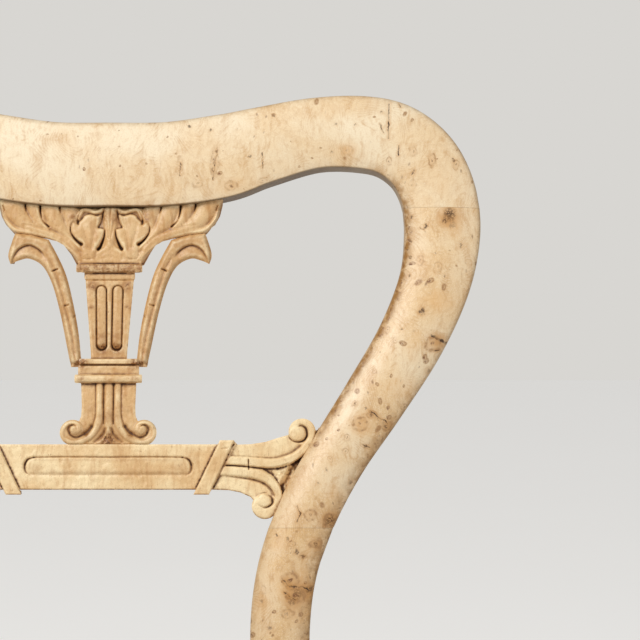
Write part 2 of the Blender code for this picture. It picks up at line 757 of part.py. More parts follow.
stem = np.array([(STEM_FOOT_HALF_WIDTH, STEM_FOOT - LAP), (STEM_TOP_HALF_WIDTH, STEM_TOP + LAP)])
add(splat, ground(both_sides(stem), 4))
for flute_side in (1, -1):
    low_end = (flute_side * FLUTE_CENTRE, STEM_FOOT + FLUTE_STOP + FLUTE_WIDTH / 2)
    high_end = (flute_side * FLUTE_CENTRE, STEM_TOP - FLUTE_STOP - FLUTE_WIDTH / 2)
    low_round = arc(low_end, FLUTE_WIDTH / 2, math.pi, 2 * math.pi, 4)
    high_round = arc(high_end, FLUTE_WIDTH / 2, 0, math.pi, 4)
    cut(splat, sunk(np.vstack([low_round, high_round]), FLUTE_DEPTH))
add(splat, ground(rectangle(STEM_TOP_HALF_WIDTH * 0.96, STEM_TOP, NECK_TOP + LAP), 6))
for half_width, bottom, top, share in (
    (CAPITAL_HALF_WIDTH, NECK_TOP, CAPITAL_TOP + LAP, 1.0),
    (FILLET_HALF_WIDTH, BAND_TOP + FILLET_HEIGHT * 0.44, STEM_FOOT, 0.75),
    (FILLET_HALF_WIDTH * 0.9, BAND_TOP - LAP, STEM_FOOT - LAP, 0.35),
    (BAND_HALF_WIDTH, TORUS_TOP, BAND_TOP, 0.85),
    (TORUS_HALF_WIDTH, BASE_TOP + TORUS_HEIGHT * 0.16, TORUS_TOP + LAP, 1.05),
    (BASE_HALF_WIDTH, BASE_TOP - LAP, BASE_TOP + TORUS_HEIGHT / 2, 0.3),
):
    low, high = CARVING_BACK + CARVING_STEP * (8 - 3 * share), CARVING_FRONT + CARVING_RELIEF * share
    add(splat, in_back(prism([rectangle(half_width, bottom, top)], low, high)))

base_edge = np.array([(BASE_SCROLL_REACH, BASE_BOTTOM), (BASE_HALF_WIDTH, BASE_BOTTOM + BASE_SCROLL_RADIUS)])
base_corner = (BASE_HALF_WIDTH, BASE_TOP)
base_side = through([base_edge[1], (BASE_HALF_WIDTH, BASE_TOP - BASE_HEIGHT / 2), base_corner], 2)
add(splat, ground(both_sides(np.vstack([base_edge[:1], base_side])), 10))
reed = rectangle(REED_HALF_WIDTH, BASE_BOTTOM + BASE_SCROLL_RADIUS, BASE_TOP + LAP)
add(splat, raised(reed, REED_RELIEF))
band_line = REED_HALF_WIDTH + SCROLL_BAND_WIDTH * 0.65
scroll_lead = [
    (band_line, BASE_TOP + LAP),
    (band_line, BASE_TOP - BASE_HEIGHT * 0.40),
    (band_line * 1.25, BASE_TOP - BASE_HEIGHT * 0.68),
    (BASE_SCROLL_REACH * 0.60, BASE_BOTTOM + BASE_SCROLL_RADIUS * 0.50),
]
whorl_radius = BASE_SCROLL_RADIUS - SCROLL_BAND_WIDTH / 2
base_whorl = spiral(SCROLL_EYE, whorl_radius, VOLUTE_EYE_RADIUS * 1.2, -1.6, 1.05, WHORL_STEPS)
base_scroll = np.vstack([through(scroll_lead, 3)[:-1], base_whorl])
scroll_widths = np.linspace(SCROLL_BAND_WIDTH, SCROLL_BAND_WIDTH * 0.45, len(base_scroll))
for way in (1, -1):
    eye = np.array(SCROLL_EYE) * (way, 1)
    add(splat, ground(circle(eye, BASE_SCROLL_RADIUS, DISC_STEPS), 14))
    add(splat, raised(ribbon(base_scroll * (way, 1), scroll_widths), BASE_SCROLL_RELIEF))
    add(splat, raised(circle(eye, VOLUTE_EYE_RADIUS, EYE_STEPS), EYE_RELIEF))
cut(splat, frame_clearance())
add(splat, splat_tenon(CREST_UNDERSIDE, 0))
add(splat, splat_tenon(RAIL_TOP, 0))


# Horn-shaped handles beside the stem

def horn_points(*shares):
    """Points from shares of the horn's reach and of its rise from the foot moulding to the leaf."""
    foot = BAND_TOP + GLUE_GAP
    rise = HORN_SEAT[1][1] - foot
    return np.array([(across * HORN_REACH, foot + up * rise) for across, up in shares])


horn_inside = horn_points(
    (0.302, 0.00), (0.302, 0.12), (0.322, 0.29), (0.378, 0.52), (0.443, 0.72), (0.530, 0.87)
)
horn_seat = HORN_SEAT[::-1] - (0, GLUE_GAP)
horn_mouth = horn_points((0.990, 0.92), (0.982, 0.81))
horn_outside = horn_points(
    (0.982, 0.81),
    (0.885, 0.84),
    (0.793, 0.85),
    (0.662, 0.79),
    (0.560, 0.65),
    (0.475, 0.43),
    (0.410, 0.17),
    (0.368, 0.00),
)
horn_outline = np.vstack([through(horn_inside, 2), horn_seat, horn_mouth[:1], through(horn_outside, 2)])
horn_groove = through(
    horn_points((0.350, 0.10), (0.372, 0.30), (0.432, 0.55), (0.530, 0.77), (0.660, 0.90), (0.860, 0.90)), 2
)
for side in ("right", "left"):
    horn = node(f"{side}_horn", on_side(side, ground(horn_outline, 8)), "carved")
    cut(horn, on_side(side, sunk(ribbon(horn_groove, [HORN_GROOVE] * len(horn_groove)), FLUTE_DEPTH)))


# Cross rail: sunk panel, ribbon bands, and a pair of volutes at each end

def volute_eye(height, radius):
    """Centre of a volute whose outer whorl touches the stile at its own height."""
    edge, outward = stile_inner_edge(height)
    return np.array([edge - (radius + GLUE_GAP) / outward[0], height])


UPPER_EYE = volute_eye(RAIL_TOP + UPPER_VOLUTE_LIFT, UPPER_VOLUTE_RADIUS)
LOWER_EYE = volute_eye(RAIL_BOTTOM - LOWER_VOLUTE_DROP, LOWER_VOLUTE_RADIUS * 0.86)


def from_ribbon(share, eye):
    """Distance out along the rail between the ribbon band and a volute's eye."""
    return RIBBON_TOP_REACH + (eye[0] - RIBBON_TOP_REACH) * share


upper_branch = np.vstack(
    [
        through(
            [
                (RIBBON_TOP_REACH, RAIL_TOP - LAP),
                (from_ribbon(0.33, UPPER_EYE), RAIL_TOP),
                (from_ribbon(0.62, UPPER_EYE), RAIL_TOP + UPPER_VOLUTE_LIFT * 0.28),
                (from_ribbon(0.84, UPPER_EYE), RAIL_TOP + UPPER_VOLUTE_LIFT * 0.72),
            ],
            2,
        ),
        [(UPPER_EYE[0], UPPER_EYE[1] + UPPER_VOLUTE_RADIUS * 0.43)],
        through(
            [
                (UPPER_EYE[0] + UPPER_VOLUTE_RADIUS * 0.95, UPPER_EYE[1] - UPPER_VOLUTE_RADIUS * 0.2),
                (UPPER_EYE[0] + UPPER_VOLUTE_RADIUS * 0.80, UPPER_EYE[1] - UPPER_VOLUTE_RADIUS * 1.2),
                (UPPER_EYE[0], UPPER_EYE[1] - UPPER_VOLUTE_RADIUS * 1.85),
                (from_ribbon(0.60, UPPER_EYE), RAIL_MIDDLE - LAP),
                (RIBBON_TOP_REACH, RAIL_MIDDLE - LAP),
            ],
            2,
        ),
    ]
)
lower_branch = np.vstack(
    [
        through(
            [
                (RIBBON_FOOT_REACH, RAIL_MIDDLE + 2 * LAP),
                (from_ribbon(0.55, LOWER_EYE), RAIL_MIDDLE + 2 * LAP),
                (from_ribbon(0.92, LOWER_EYE), RAIL_MIDDLE - LAP),
                (LOWER_EYE[0] + LOWER_VOLUTE_RADIUS * 0.72, RAIL_MIDDLE - RAIL_HEIGHT * 0.26),
                (LOWER_EYE[0] + LOWER_VOLUTE_RADIUS * 0.90, LOWER_EYE[1] + LOWER_VOLUTE_RADIUS * 0.07),
            ],
            2,
        ),
        [(LOWER_EYE[0], LOWER_EYE[1] - LOWER_VOLUTE_RADIUS * 0.43)],
        through(
            [
                (LOWER_EYE[0] - LOWER_VOLUTE_RADIUS * 0.88, LOWER_EYE[1] + LOWER_VOLUTE_RADIUS * 0.25),
                (from_ribbon(0.22, LOWER_EYE), RAIL_BOTTOM - LAP),
                (RIBBON_FOOT_REACH, RAIL_BOTTOM),
            ],
            2,
        ),
    ]
)
upper_band = np.vstack(
    [
        through(
            [
                (RIBBON_TOP_REACH - RIBBON_WIDTH / 2, RAIL_MIDDLE + SCROLL_BAND_WIDTH * 0.75),
                (from_ribbon(0.50, UPPER_EYE), RAIL_MIDDLE + SCROLL_BAND_WIDTH * 0.60),
                (from_ribbon(0.90, UPPER_EYE), RAIL_MIDDLE + SCROLL_BAND_WIDTH * 1.25),
                (UPPER_EYE[0] + UPPER_VOLUTE_RADIUS * 0.50, UPPER_EYE[1] - UPPER_VOLUTE_RADIUS * 1.05),
            ],
            3,
        )[:-1],
        spiral(UPPER_EYE, UPPER_VOLUTE_RADIUS * 0.82, VOLUTE_EYE_RADIUS * 1.2, -0.70, 1.30, WHORL_STEPS),
    ]
)
lower_band = np.vstack(
    [
        through(
            [
                (RIBBON_FOOT_REACH + RIBBON_WIDTH, RAIL_MIDDLE - SCROLL_BAND_WIDTH * 0.75),
                (from_ribbon(0.40, LOWER_EYE), RAIL_MIDDLE - SCROLL_BAND_WIDTH * 0.70),
                (from_ribbon(0.85, LOWER_EYE), RAIL_MIDDLE - SCROLL_BAND_WIDTH * 1.05),
                (LOWER_EYE[0] + LOWER_VOLUTE_RADIUS * 0.62, LOWER_EYE[1] + LOWER_VOLUTE_RADIUS * 0.92),
            ],
            3,
        )[:-1],
        spiral(LOWER_EYE, LOWER_VOLUTE_RADIUS * 0.84, VOLUTE_EYE_RADIUS * 1.2, 0.65, -1.35, WHORL_STEPS),
    ]
)
panel_end = PANEL_REACH - PANEL_HEIGHT / 2
panel = both_sides(arc((panel_end, RAIL_MIDDLE), PANEL_HEIGHT / 2, -math.pi / 2, math.pi / 2, 8))
ribbon_band = np.array(
    [
        (RIBBON_FOOT_REACH - RIBBON_WIDTH / 2, RAIL_BOTTOM - RIBBON_OVERHANG),
        (RIBBON_FOOT_REACH + RIBBON_WIDTH / 2, RAIL_BOTTOM - RIBBON_OVERHANG),
        (RIBBON_TOP_REACH + RIBBON_WIDTH / 2, RAIL_TOP + RIBBON_OVERHANG),
        (RIBBON_TOP_REACH - RIBBON_WIDTH / 2, RAIL_TOP + RIBBON_OVERHANG),
    ]
)
web_edge, _ = stile_inner_edge(RAIL_MIDDLE)
web = oblong(
    from_ribbon(0.3, UPPER_EYE),
    web_edge + RAIL_TENON_LENGTH,
    RAIL_MIDDLE - WEB_DROP,
    RAIL_MIDDLE + WEB_HEIGHT / 2,
)

rail = node("cross_rail", ground(rectangle(RIBBON_TOP_REACH, RAIL_BOTTOM, RAIL_TOP)), "carved")
cut(rail, sunk(panel, PANEL_DEPTH))
for way in (1, -1):
    side = (way, 1)
    add(rail, ground(upper_branch * side, 4))
    add(rail, ground(lower_branch * side, 7))
    add(rail, ground(web * side, WEB_SET_BACK / CARVING_STEP))
    for eye, radius, layer in ((UPPER_EYE, UPPER_VOLUTE_RADIUS, 10), (LOWER_EYE, LOWER_VOLUTE_RADIUS, 13)):
        add(rail, ground(circle(eye * side, radius, DISC_STEPS), layer))
        add(rail, raised(circle(eye * side, VOLUTE_EYE_RADIUS, EYE_STEPS), EYE_RELIEF))
    for band in (upper_band, lower_band):
        widths = np.linspace(SCROLL_BAND_WIDTH, SCROLL_BAND_WIDTH * 0.4, len(band))
        add(rail, raised(ribbon(band * side, widths), RAIL_SCROLL_RELIEF))
    add(rail, in_back(prism([ribbon_band * side], CARVING_BACK - LAP, CARVING_FRONT + CARVING_RELIEF)))
cut(rail, frame_clearance())
cut(rail, splat_tenon(RAIL_TOP, GLUE_GAP))
add(rail, rail_tenon(0))
add(rail, mirrored(rail_tenon(0)))


# Seat ring: four bent rails with loose tongues, and the crossed battens

def ring_section():
    """Radius and height round the section of the seat ring."""
    bead_middle = RING_BOTTOM + 1.6 * RING_BEAD_RADIUS
    bead = arc((RING_RADIUS, bead_middle), RING_BEAD_RADIUS, math.pi / 2, -math.pi / 2, 4)
    rounded = arc(
        (RING_RADIUS - RING_EDGE_ROUND, SEAT_HEIGHT - RING_EDGE_ROUND), RING_EDGE_ROUND, math.pi / 2, 0, 3
    )
    inside = [
        (RING_RADIUS, RING_BOTTOM),
        (RING_BORE, RING_BOTTOM),
        (RING_BORE, LEDGE_TOP),
        (RING_OPENING, LEDGE_TOP),
        (RING_OPENING, SEAT_HEIGHT),
    ]
    return np.vstack([rounded, bead, inside])


def ring_station(angle):
    """The ring's section set at an angle round the seat."""
    return [(radius * math.cos(angle), radius * math.sin(angle), height) for radius, height in ring_section()]


def turned_to(mesh, angle):
    return moved(mesh, Matrix.Rotation(angle, 4, "Z"))


def tongue(angle, spare):
    """Loose tongue across the joint between two rails of the ring."""
    middle = (RING_BORE + RING_RADIUS) / 2
    low = Vector((middle - TONGUE_WIDTH / 2, -TONGUE_LENGTH / 2, RING_BOTTOM + TONGUE_LIFT))
    size = Vector((TONGUE_WIDTH, TONGUE_LENGTH, TONGUE_HEIGHT))
    margin = Vector((spare, spare, spare))
    return turned_to(box(low - margin, low + size + margin), angle)


def batten_housing(angle):
    """Notch under a rail of the ring for a batten's end."""
    half = BATTEN_WIDTH / 2 + GLUE_GAP
    low = (RING_BORE - BATTEN_HOUSING, -half, RING_BOTTOM - BATTEN_THICKNESS)
    return turned_to(box(low, (BATTEN_REACH + GLUE_GAP, half, BATTEN_TOP + GLUE_GAP)), angle)


QUARTER = math.pi / 2
RAIL_STATIONS = 10
joint_angle = GLUE_GAP / 2 / RING_BORE
for name, middle in (("right", 0.0), ("back", QUARTER), ("left", 2 * QUARTER), ("front", 3 * QUARTER)):
    start, end = middle - QUARTER / 2, middle + QUARTER / 2
    stations = np.linspace(start + joint_angle, end - joint_angle, RAIL_STATIONS + 1)
    seat_rail = node(f"{name}_seat_rail", loft([ring_station(angle) for angle in stations]), "burl")
    cut(seat_rail, tongue(start, GLUE_GAP))
    cut(seat_rail, tongue(end, GLUE_GAP))
    cut(seat_rail, batten_housing(middle))
    if name == "back":
        cut(seat_rail, stile_tenon(GLUE_GAP))
        cut(seat_rail, mirrored(stile_tenon(GLUE_GAP)))
    node(f"{name}_ring_tongue", tongue(start, 0), "beech")


def screw_hole(angle, circle_radius, low, high):
    """Clearance for a wood screw at an angle of a screw circle."""
    across, along = circle_radius * math.cos(angle), circle_radius * math.sin(angle)
    return rod(SCREW_RADIUS + GLUE_GAP, (across, along, low), (across, along, high), SCREW_STEPS)


LAP_LEVEL = RING_BOTTOM + BATTEN_THICKNESS / 2
half_batten = BATTEN_WIDTH / 2
lap_width = half_batten + GLUE_GAP
for name, angle, lap_bottom, lap_top in (
    ("side_batten", 0.0, RING_BOTTOM - BATTEN_THICKNESS, LAP_LEVEL + GLUE_GAP / 2),
    ("front_back_batten", QUARTER, LAP_LEVEL - GLUE_GAP / 2, BATTEN_TOP + BATTEN_THICKNESS),
):
    board = box((-BATTEN_REACH, -half_batten, RING_BOTTOM), (BATTEN_REACH, half_batten, BATTEN_TOP))
    batten = node(name, turned_to(board, angle), "beech")
    lap = box((-lap_width, -BATTEN_WIDTH, lap_bottom), (lap_width, BATTEN_WIDTH, lap_top))
    cut(batten, turned_to(lap, angle))
    hole_top = PLATE_BOTTOM + SCREW_LENGTH + GLUE_GAP
    for turn in (angle, angle + math.pi):
        cut(batten, screw_hole(turn, PLATE_SCREW_CIRCLE, PLATE_BOTTOM, hole_top))


# Drop-in seat: frame, webbing, base cloth, stuffing and leather

SKIRT_RADIUS = RING_OPENING - DROP_IN_GAP
SKIRT_INSIDE = SKIRT_RADIUS - LEATHER_THICKNESS
SLIP_RADIUS = SKIRT_INSIDE - GLUE_GAP
SLIP_BOTTOM = LEDGE_TOP + GLUE_GAP
SLIP_TOP = SLIP_BOTTOM + SLIP_FRAME_THICKNESS
WEBBING_BOTTOM = SLIP_TOP + GLUE_GAP
CLOTH_BOTTOM = WEBBING_BOTTOM + WEBBING_THICKNESS + GLUE_GAP
PAD_BOTTOM = CLOTH_BOTTOM + BASE_CLOTH_THICKNESS + GLUE_GAP
DOME_BASE = max(SEAT_HEIGHT, PAD_BOTTOM) + GLUE_GAP
# Shares of the cushion's radius and of its crown, from its middle out to its drawn-in side
DOME_SHARES = (
    (0.00, 1.00),
    (0.25, 0.988),
    (0.48, 0.93),
    (0.68, 0.81),
    (0.84, 0.63),
    (0.945, 0.42),
    (0.99, 0.24),
    (1.00, 0.12),
)


def dome(inset):
    """Crown of the cushion, swelling over its drawn-in side, less a wall."""
    radius = RING_OPENING + CUSHION_OVERHANG - inset
    crown = CUSHION_CROWN - inset
    return [(across * radius, DOME_BASE + up * crown) for across, up in DOME_SHARES]


slip_inside = SLIP_RADIUS - SLIP_FRAME_WIDTH
turned(
    "slip_seat_frame",
    [
        (slip_inside, SLIP_TOP),
        (SLIP_RADIUS, SLIP_TOP),
        (SLIP_RADIUS, SLIP_BOTTOM),
        (slip_inside, SLIP_BOTTOM),
    ],
    "beech",
    SEAT_STEPS,
    closed=True,
)

webbing_radius = slip_inside + WEBBING_LAP
webbing_gaps = []
gap_half = (WEBBING_SPACING - WEBBING_STRAP) / 2
GAP_ROWS = (-1.5, -0.5, 0.5, 1.5)
for column in GAP_ROWS:
    for row in GAP_ROWS:
        middle = np.array((column, row)) * WEBBING_SPACING
        if np.linalg.norm(middle) + 2 * gap_half < webbing_radius:
            webbing_gaps.append(middle + rectangle(gap_half, -gap_half, gap_half))
webbing_outline = circle((0, 0), webbing_radius, SEAT_STEPS)
webbing = prism([webbing_outline] + webbing_gaps, WEBBING_BOTTOM, WEBBING_BOTTOM + WEBBING_THICKNESS)
node("seat_webbing", webbing, "jute")
cloth = prism([webbing_outline], CLOTH_BOTTOM, CLOTH_BOTTOM + BASE_CLOTH_THICKNESS)
node("base_cloth", cloth, "jute")
pad_side = SKIRT_INSIDE - GLUE_GAP
turned(
    "seat_pad",
    dome(LEATHER_THICKNESS + GLUE_GAP) + [(pad_side, PAD_BOTTOM), (0, PAD_BOTTOM)],
    "hair",
    SEAT_STEPS,
)
turned(
    "leather_cover",
    dome(0)
    + [(SKIRT_RADIUS, DOME_BASE), (SKIRT_RADIUS, SLIP_BOTTOM)]
    + [(SKIRT_INSIDE, SLIP_BOTTOM), (SKIRT_INSIDE, DOME_BASE)]
    + dome(LEATHER_THICKNESS)[::-1],
    "leather",
    SEAT_STEPS,
)


# Swivel hardware: armed plate, spindle, thrust washer, socket, nut and screws

def plate_outline():
    """A disc with four round-ended arms that widen towards it."""
    half = PLATE_ARM_WIDTH / 2
    spread = math.asin(half * PLATE_ARM_FLARE / PLATE_DISC_RADIUS)
    points = []
    for turn in range(4):
        angle = turn * QUARTER
        tip = (PLATE_ARM_REACH - half) * np.array((math.cos(angle), math.sin(angle)))
        points.append(arc(tip, half, angle - QUARTER, angle + QUARTER, 5))
        points.append(arc((0, 0), PLATE_DISC_RADIUS, angle + spread, angle + QUARTER - spread, 3))
    return np.vstack(points)


plate_hole = circle((0, 0), SPINDLE_RADIUS + GLUE_GAP, HARDWARE_STEPS)
plate = node("swivel_plate", prism([plate_outline(), plate_hole], PLATE_BOTTOM, PLATE_TOP), "iron")
plate_holes = (PLATE_SCREW_CIRCLE, PLATE_BOTTOM - SCREW_LENGTH, PLATE_TOP + SCREW_LENGTH)
for turn in range(4):
    cut(plate, screw_hole(turn * QUARTER, *plate_holes))
head_bottom = PLATE_TOP - GLUE_GAP - SPINDLE_HEAD_HEIGHT
head_seat, above_plate = (0, 0, head_bottom - GLUE_GAP), (0, 0, PLATE_TOP + PLATE_THICKNESS)
cut(plate, rod(SPINDLE_HEAD_RADIUS + GLUE_GAP, head_seat, above_plate, HARDWARE_STEPS))

turned(
    "spindle",
    [
        (0, PLATE_TOP - GLUE_GAP),
        (SPINDLE_HEAD_RADIUS, PLATE_TOP - GLUE_GAP),
        (SPINDLE_HEAD_RADIUS, head_bottom),
        (SPINDLE_RADIUS, head_bottom),
        (SPINDLE_RADIUS, COUNTERBORE_ROOF),
        (SPINDLE_TAIL_RADIUS, COUNTERBORE_ROOF),
        (SPINDLE_TAIL_RADIUS, SPINDLE_BOTTOM),
        (0, SPINDLE_BOTTOM),
    ],
    "iron",
    HARDWARE_STEPS,
)


def washer(name, bore, radius, top, bottom, finish, turns):
    rim = [(bore, top), (radius, top), (radius, bottom), (bore, bottom)]
    turned(name, rim, finish, HARDWARE_STEPS, closed=True, turns=turns)


thrust_bottom = WASHER_TOP - THRUST_WASHER_THICKNESS
washer("thrust_washer", SOCKET_BORE, THRUST_WASHER_RADIUS, WASHER_TOP, thrust_bottom, "brass", False)
tail_washer_top = COUNTERBORE_ROOF - GLUE_GAP
tail_washer_bottom = tail_washer_top - TAIL_WASHER_THICKNESS
tail_bore = SPINDLE_TAIL_RADIUS + GLUE_GAP
washer("tail_washer", tail_bore, TAIL_WASHER_RADIUS, tail_washer_top, tail_washer_bottom, "iron", True)
nut_top = tail_washer_bottom - GLUE_GAP
nut_corner = NUT_FLATS / 2 / math.cos(math.pi / 6)
nut_outline = [circle((0, 0), nut_corner, 6), circle((0, 0), tail_bore, HARDWARE_STEPS)]
node("tail_nut", prism(nut_outline, nut_top - NUT_HEIGHT, nut_top), "iron")

socket_bottom = HUB_TOP - SOCKET_DEPTH
socket = turned(
    "socket",
    [
        (SOCKET_BORE, FLANGE_TOP),
        (FLANGE_RADIUS, FLANGE_TOP),
        (FLANGE_RADIUS, FLANGE_BOTTOM),
        (SOCKET_RADIUS, FLANGE_BOTTOM),
        (SOCKET_RADIUS, socket_bottom),
        (SOCKET_BORE, socket_bottom),
    ],
    "iron",
    HARDWARE_STEPS,
    closed=True,
    turns=False,
)


def wood_screw(name, angle, circle_radius, seat, way, turns):
    """A round-headed screw; way is +1 where it points up and -1 where it points down."""
    point = SCREW_LENGTH * way
    head = -(GLUE_GAP + SCREW_HEAD_HEIGHT) * way
    rim = -GLUE_GAP * way
    outline = [
        (0, head),
        (SCREW_HEAD_RADIUS * 0.7, head + SCREW_HEAD_HEIGHT * 0.3 * way),
        (SCREW_HEAD_RADIUS, rim),
        (SCREW_RADIUS, rim),
        (SCREW_RADIUS, point * 0.8),
        (0, point),
    ]
    piece = turned(name, outline[:: -way], "iron", SCREW_STEPS, turns=turns)
    place = Vector((circle_radius * math.cos(angle), circle_radius * math.sin(angle), seat))
    piece.matrix_world = Matrix.Translation(place)


FLANGE_SCREW_TURN = QUARTER / 2
flange_holes = (FLANGE_SCREW_CIRCLE, HUB_TOP - SCREW_LENGTH, FLANGE_TOP + SCREW_LENGTH)
for turn, name in enumerate(("right", "back", "left", "front")):
    angle = turn * QUARTER
    wood_screw(f"{name}_plate_screw", angle, PLATE_SCREW_CIRCLE, PLATE_BOTTOM, 1, True)
    flange_angle = angle + FLANGE_SCREW_TURN
    cut(socket, screw_hole(flange_angle, *flange_holes))
    wood_screw(f"{name}_flange_screw", flange_angle, FLANGE_SCREW_CIRCLE, FLANGE_TOP, -1, False)


# Turned hub and its drop finial

BLOCK_TOP = HUB_BOTTOM + HUB_BLOCK_HEIGHT
BEAD_TOP = BLOCK_TOP + HUB_BEAD_HEIGHT
CAP_BOTTOM = HUB_TOP - HUB_CAP_HEIGHT
SHAFT = CAP_BOTTOM - BEAD_TOP
bead_middle = (HUB_BLOCK_RADIUS, BLOCK_TOP + HUB_BEAD_HEIGHT / 2)
bead_shape = arc((0, 0), 1, QUARTER, -QUARTER, 6) * (HUB_BEAD_RADIUS - HUB_BLOCK_RADIUS, HUB_BEAD_HEIGHT / 2)
hub_bore = SPINDLE_RADIUS + 2 * RUNNING_GAP
hub_profile = np.vstack(
    [
        [
            (HUB_CAP_RADIUS - HUB_CAP_HEIGHT / 4, HUB_TOP),
            (HUB_CAP_RADIUS, HUB_TOP - HUB_CAP_HEIGHT / 4),
            (HUB_CAP_RADIUS, HUB_TOP - HUB_CAP_HEIGHT * 0.7),
        ],
        through(
            [
                (HUB_CAP_RADIUS * 0.88, CAP_BOTTOM),
                (HUB_NECK_RADIUS, CAP_BOTTOM - SHAFT * 0.20),
                (HUB_NECK_RADIUS * 1.08, CAP_BOTTOM - SHAFT * 0.36),
                (HUB_VASE_RADIUS * 0.90, CAP_BOTTOM - SHAFT * 0.62),
                (HUB_VASE_RADIUS, CAP_BOTTOM - SHAFT * 0.82),
                (HUB_VASE_RADIUS * 0.92, BEAD_TOP),
            ],
            2,
        ),
        bead_shape + bead_middle,
        [
            (HUB_BLOCK_RADIUS, HUB_BOTTOM),
            (COUNTERBORE_RADIUS, HUB_BOTTOM),
            (COUNTERBORE_RADIUS, COUNTERBORE_ROOF),
            (hub_bore, COUNTERBORE_ROOF),
            (hub_bore, socket_bottom - GLUE_GAP),
            (SOCKET_RADIUS + GLUE_GAP, socket_bottom - GLUE_GAP),
            (SOCKET_RADIUS + GLUE_GAP, HUB_TOP),
        ],
    ]
)
hub = turned("hub", hub_profile, "burl", HUB_STEPS, closed=True, turns=False)
for turn in range(4):
    hole_bottom = FLANGE_TOP - SCREW_LENGTH - GLUE_GAP
    flange_angle = turn * QUARTER + FLANGE_SCREW_TURN
    cut(hub, screw_hole(flange_angle, FLANGE_SCREW_CIRCLE, hole_bottom, FLANGE_TOP))

FINIAL_TOP = HUB_BOTTOM - GLUE_GAP
spigot_radius = COUNTERBORE_RADIUS - GLUE_GAP
spigot_top = FINIAL_TOP + FINIAL_SPIGOT
turned(
    "drop_finial",
    np.vstack(
        [
            [(0, spigot_top), (spigot_radius, spigot_top)],
            [(spigot_radius, FINIAL_TOP), (FINIAL_RADIUS, FINIAL_TOP)],
            through(
                [
                    (FINIAL_RADIUS, FINIAL_TOP - FINIAL_DROP * 0.10),
                    (FINIAL_NECK_RADIUS, FINIAL_TOP - FINIAL_DROP * 0.30),
                    (FINIAL_KNOB_RADIUS, FINIAL_TOP - FINIAL_DROP * 0.56),
                    (FINIAL_KNOB_RADIUS * 0.66, FINIAL_TOP - FINIAL_DROP * 0.86),
                    (0, FINIAL_TOP - FINIAL_DROP),
                ],
                2,
            ),
        ]
    ),
    "burl",
    HUB_STEPS,
    turns=False,
)


# Scroll legs, dovetailed into the hub

foot_rise = math.sqrt(FOOT_SCROLL_RADIUS**2 - (FOOT_FLAT / 2) ** 2)
foot_eye = np.array([LEG_SPREAD - FOOT_SCROLL_RADIUS, foot_rise])
leg_root = np.array([HUB_BLOCK_RADIUS - DOVETAIL_DEPTH, LEG_ROOT_HEIGHT])
# Shares of the way from the root to the foot's eye, outwards and upwards, and from the root's
# width to the ankle's
LEG_COURSE = (
    (0.00, 1.00, 0.00),
    (0.16, 1.06, 0.10),
    (0.36, 1.00, 0.42),
    (0.55, 0.77, 0.72),
    (0.72, 0.46, 0.89),
    (0.86, 0.20, 1.00),
    (0.98, 0.10, 1.00),
)


def leg_section(width):
    """Across the leg: its depth in the plane of the scroll and its thickness."""
    half, thick = width / 2, LEG_THICKNESS / 2
    half_flat, thick_flat = half - LEG_EDGE_ROUND, thick - LEG_EDGE_ROUND
    quarter = [(half_flat, thick), (half, thick_flat)]
    right_side = quarter + [(depth, -across) for depth, across in quarter[::-1]]
    return right_side + [(-depth, -across) for depth, across in right_side]


def leg_rings():
    course = through(LEG_COURSE, 2)
    line = np.column_stack(
        [
            leg_root[0] + (foot_eye[0] - leg_root[0]) * course[:, 0],
            foot_eye[1] + (leg_root[1] - foot_eye[1]) * course[:, 1],
        ]
    )
    widths = LEG_ROOT_WIDTH + (LEG_ANKLE_WIDTH - LEG_ROOT_WIDTH) * course[:, 2]
    along = np.gradient(line, axis=0)
    along[0] = (1, 0)
    along = along / np.linalg.norm(along, axis=1)[:, None]
    for (out, up), (run, rise), width in zip(line, along, widths):
        yield [(out - rise * depth, up + run * depth, thick) for depth, thick in leg_section(width)]


def dovetail(spare, bottom, top):
    """Sliding dovetail of the leg at +X in the hub."""
    neck, wide = DOVETAIL_NECK / 2 + spare, DOVETAIL_WIDTH / 2 + spare
    inner = HUB_BLOCK_RADIUS - DOVETAIL_DEPTH - spare
    outer = HUB_BLOCK_RADIUS + DOVETAIL_DEPTH / 2
    right_edge = [(inner, -wide), (HUB_BLOCK_RADIUS, -neck), (outer, -neck)]
    left_edge = [(out, -across) for out, across in right_edge[::-1]]
    return prism([right_edge + left_edge], bottom, top)


# The leg is drawn flat and stood up, so that its plane holds the chair's axis
UPRIGHT = Matrix.Rotation(math.pi / 2, 4, "X")
dovetail_bottom = HUB_BOTTOM + GLUE_GAP
dovetail_top = LEG_ROOT_HEIGHT + LEG_ROOT_WIDTH / 2 - LEG_EDGE_ROUND
half_thickness = LEG_THICKNESS / 2
flat_angle = math.asin(FOOT_FLAT / 2 / FOOT_SCROLL_RADIUS)
foot_outline = arc(foot_eye, FOOT_SCROLL_RADIUS, flat_angle - QUARTER, 3 * QUARTER - flat_angle, 20)
foot_band = FOOT_SCROLL_RADIUS * 0.26
foot_whorl = spiral(foot_eye, foot_eye[1] - foot_band * 0.6, foot_band * 0.8, QUARTER * 1.25, -1.5, 18)
foot_spiral = ribbon(foot_whorl, np.linspace(foot_band, foot_band * 0.45, len(foot_whorl)))
disc_half = half_thickness + FOOT_RELIEF / 2
band_half = half_thickness + FOOT_RELIEF
hub_face = HUB_BLOCK_RADIUS + GLUE_GAP
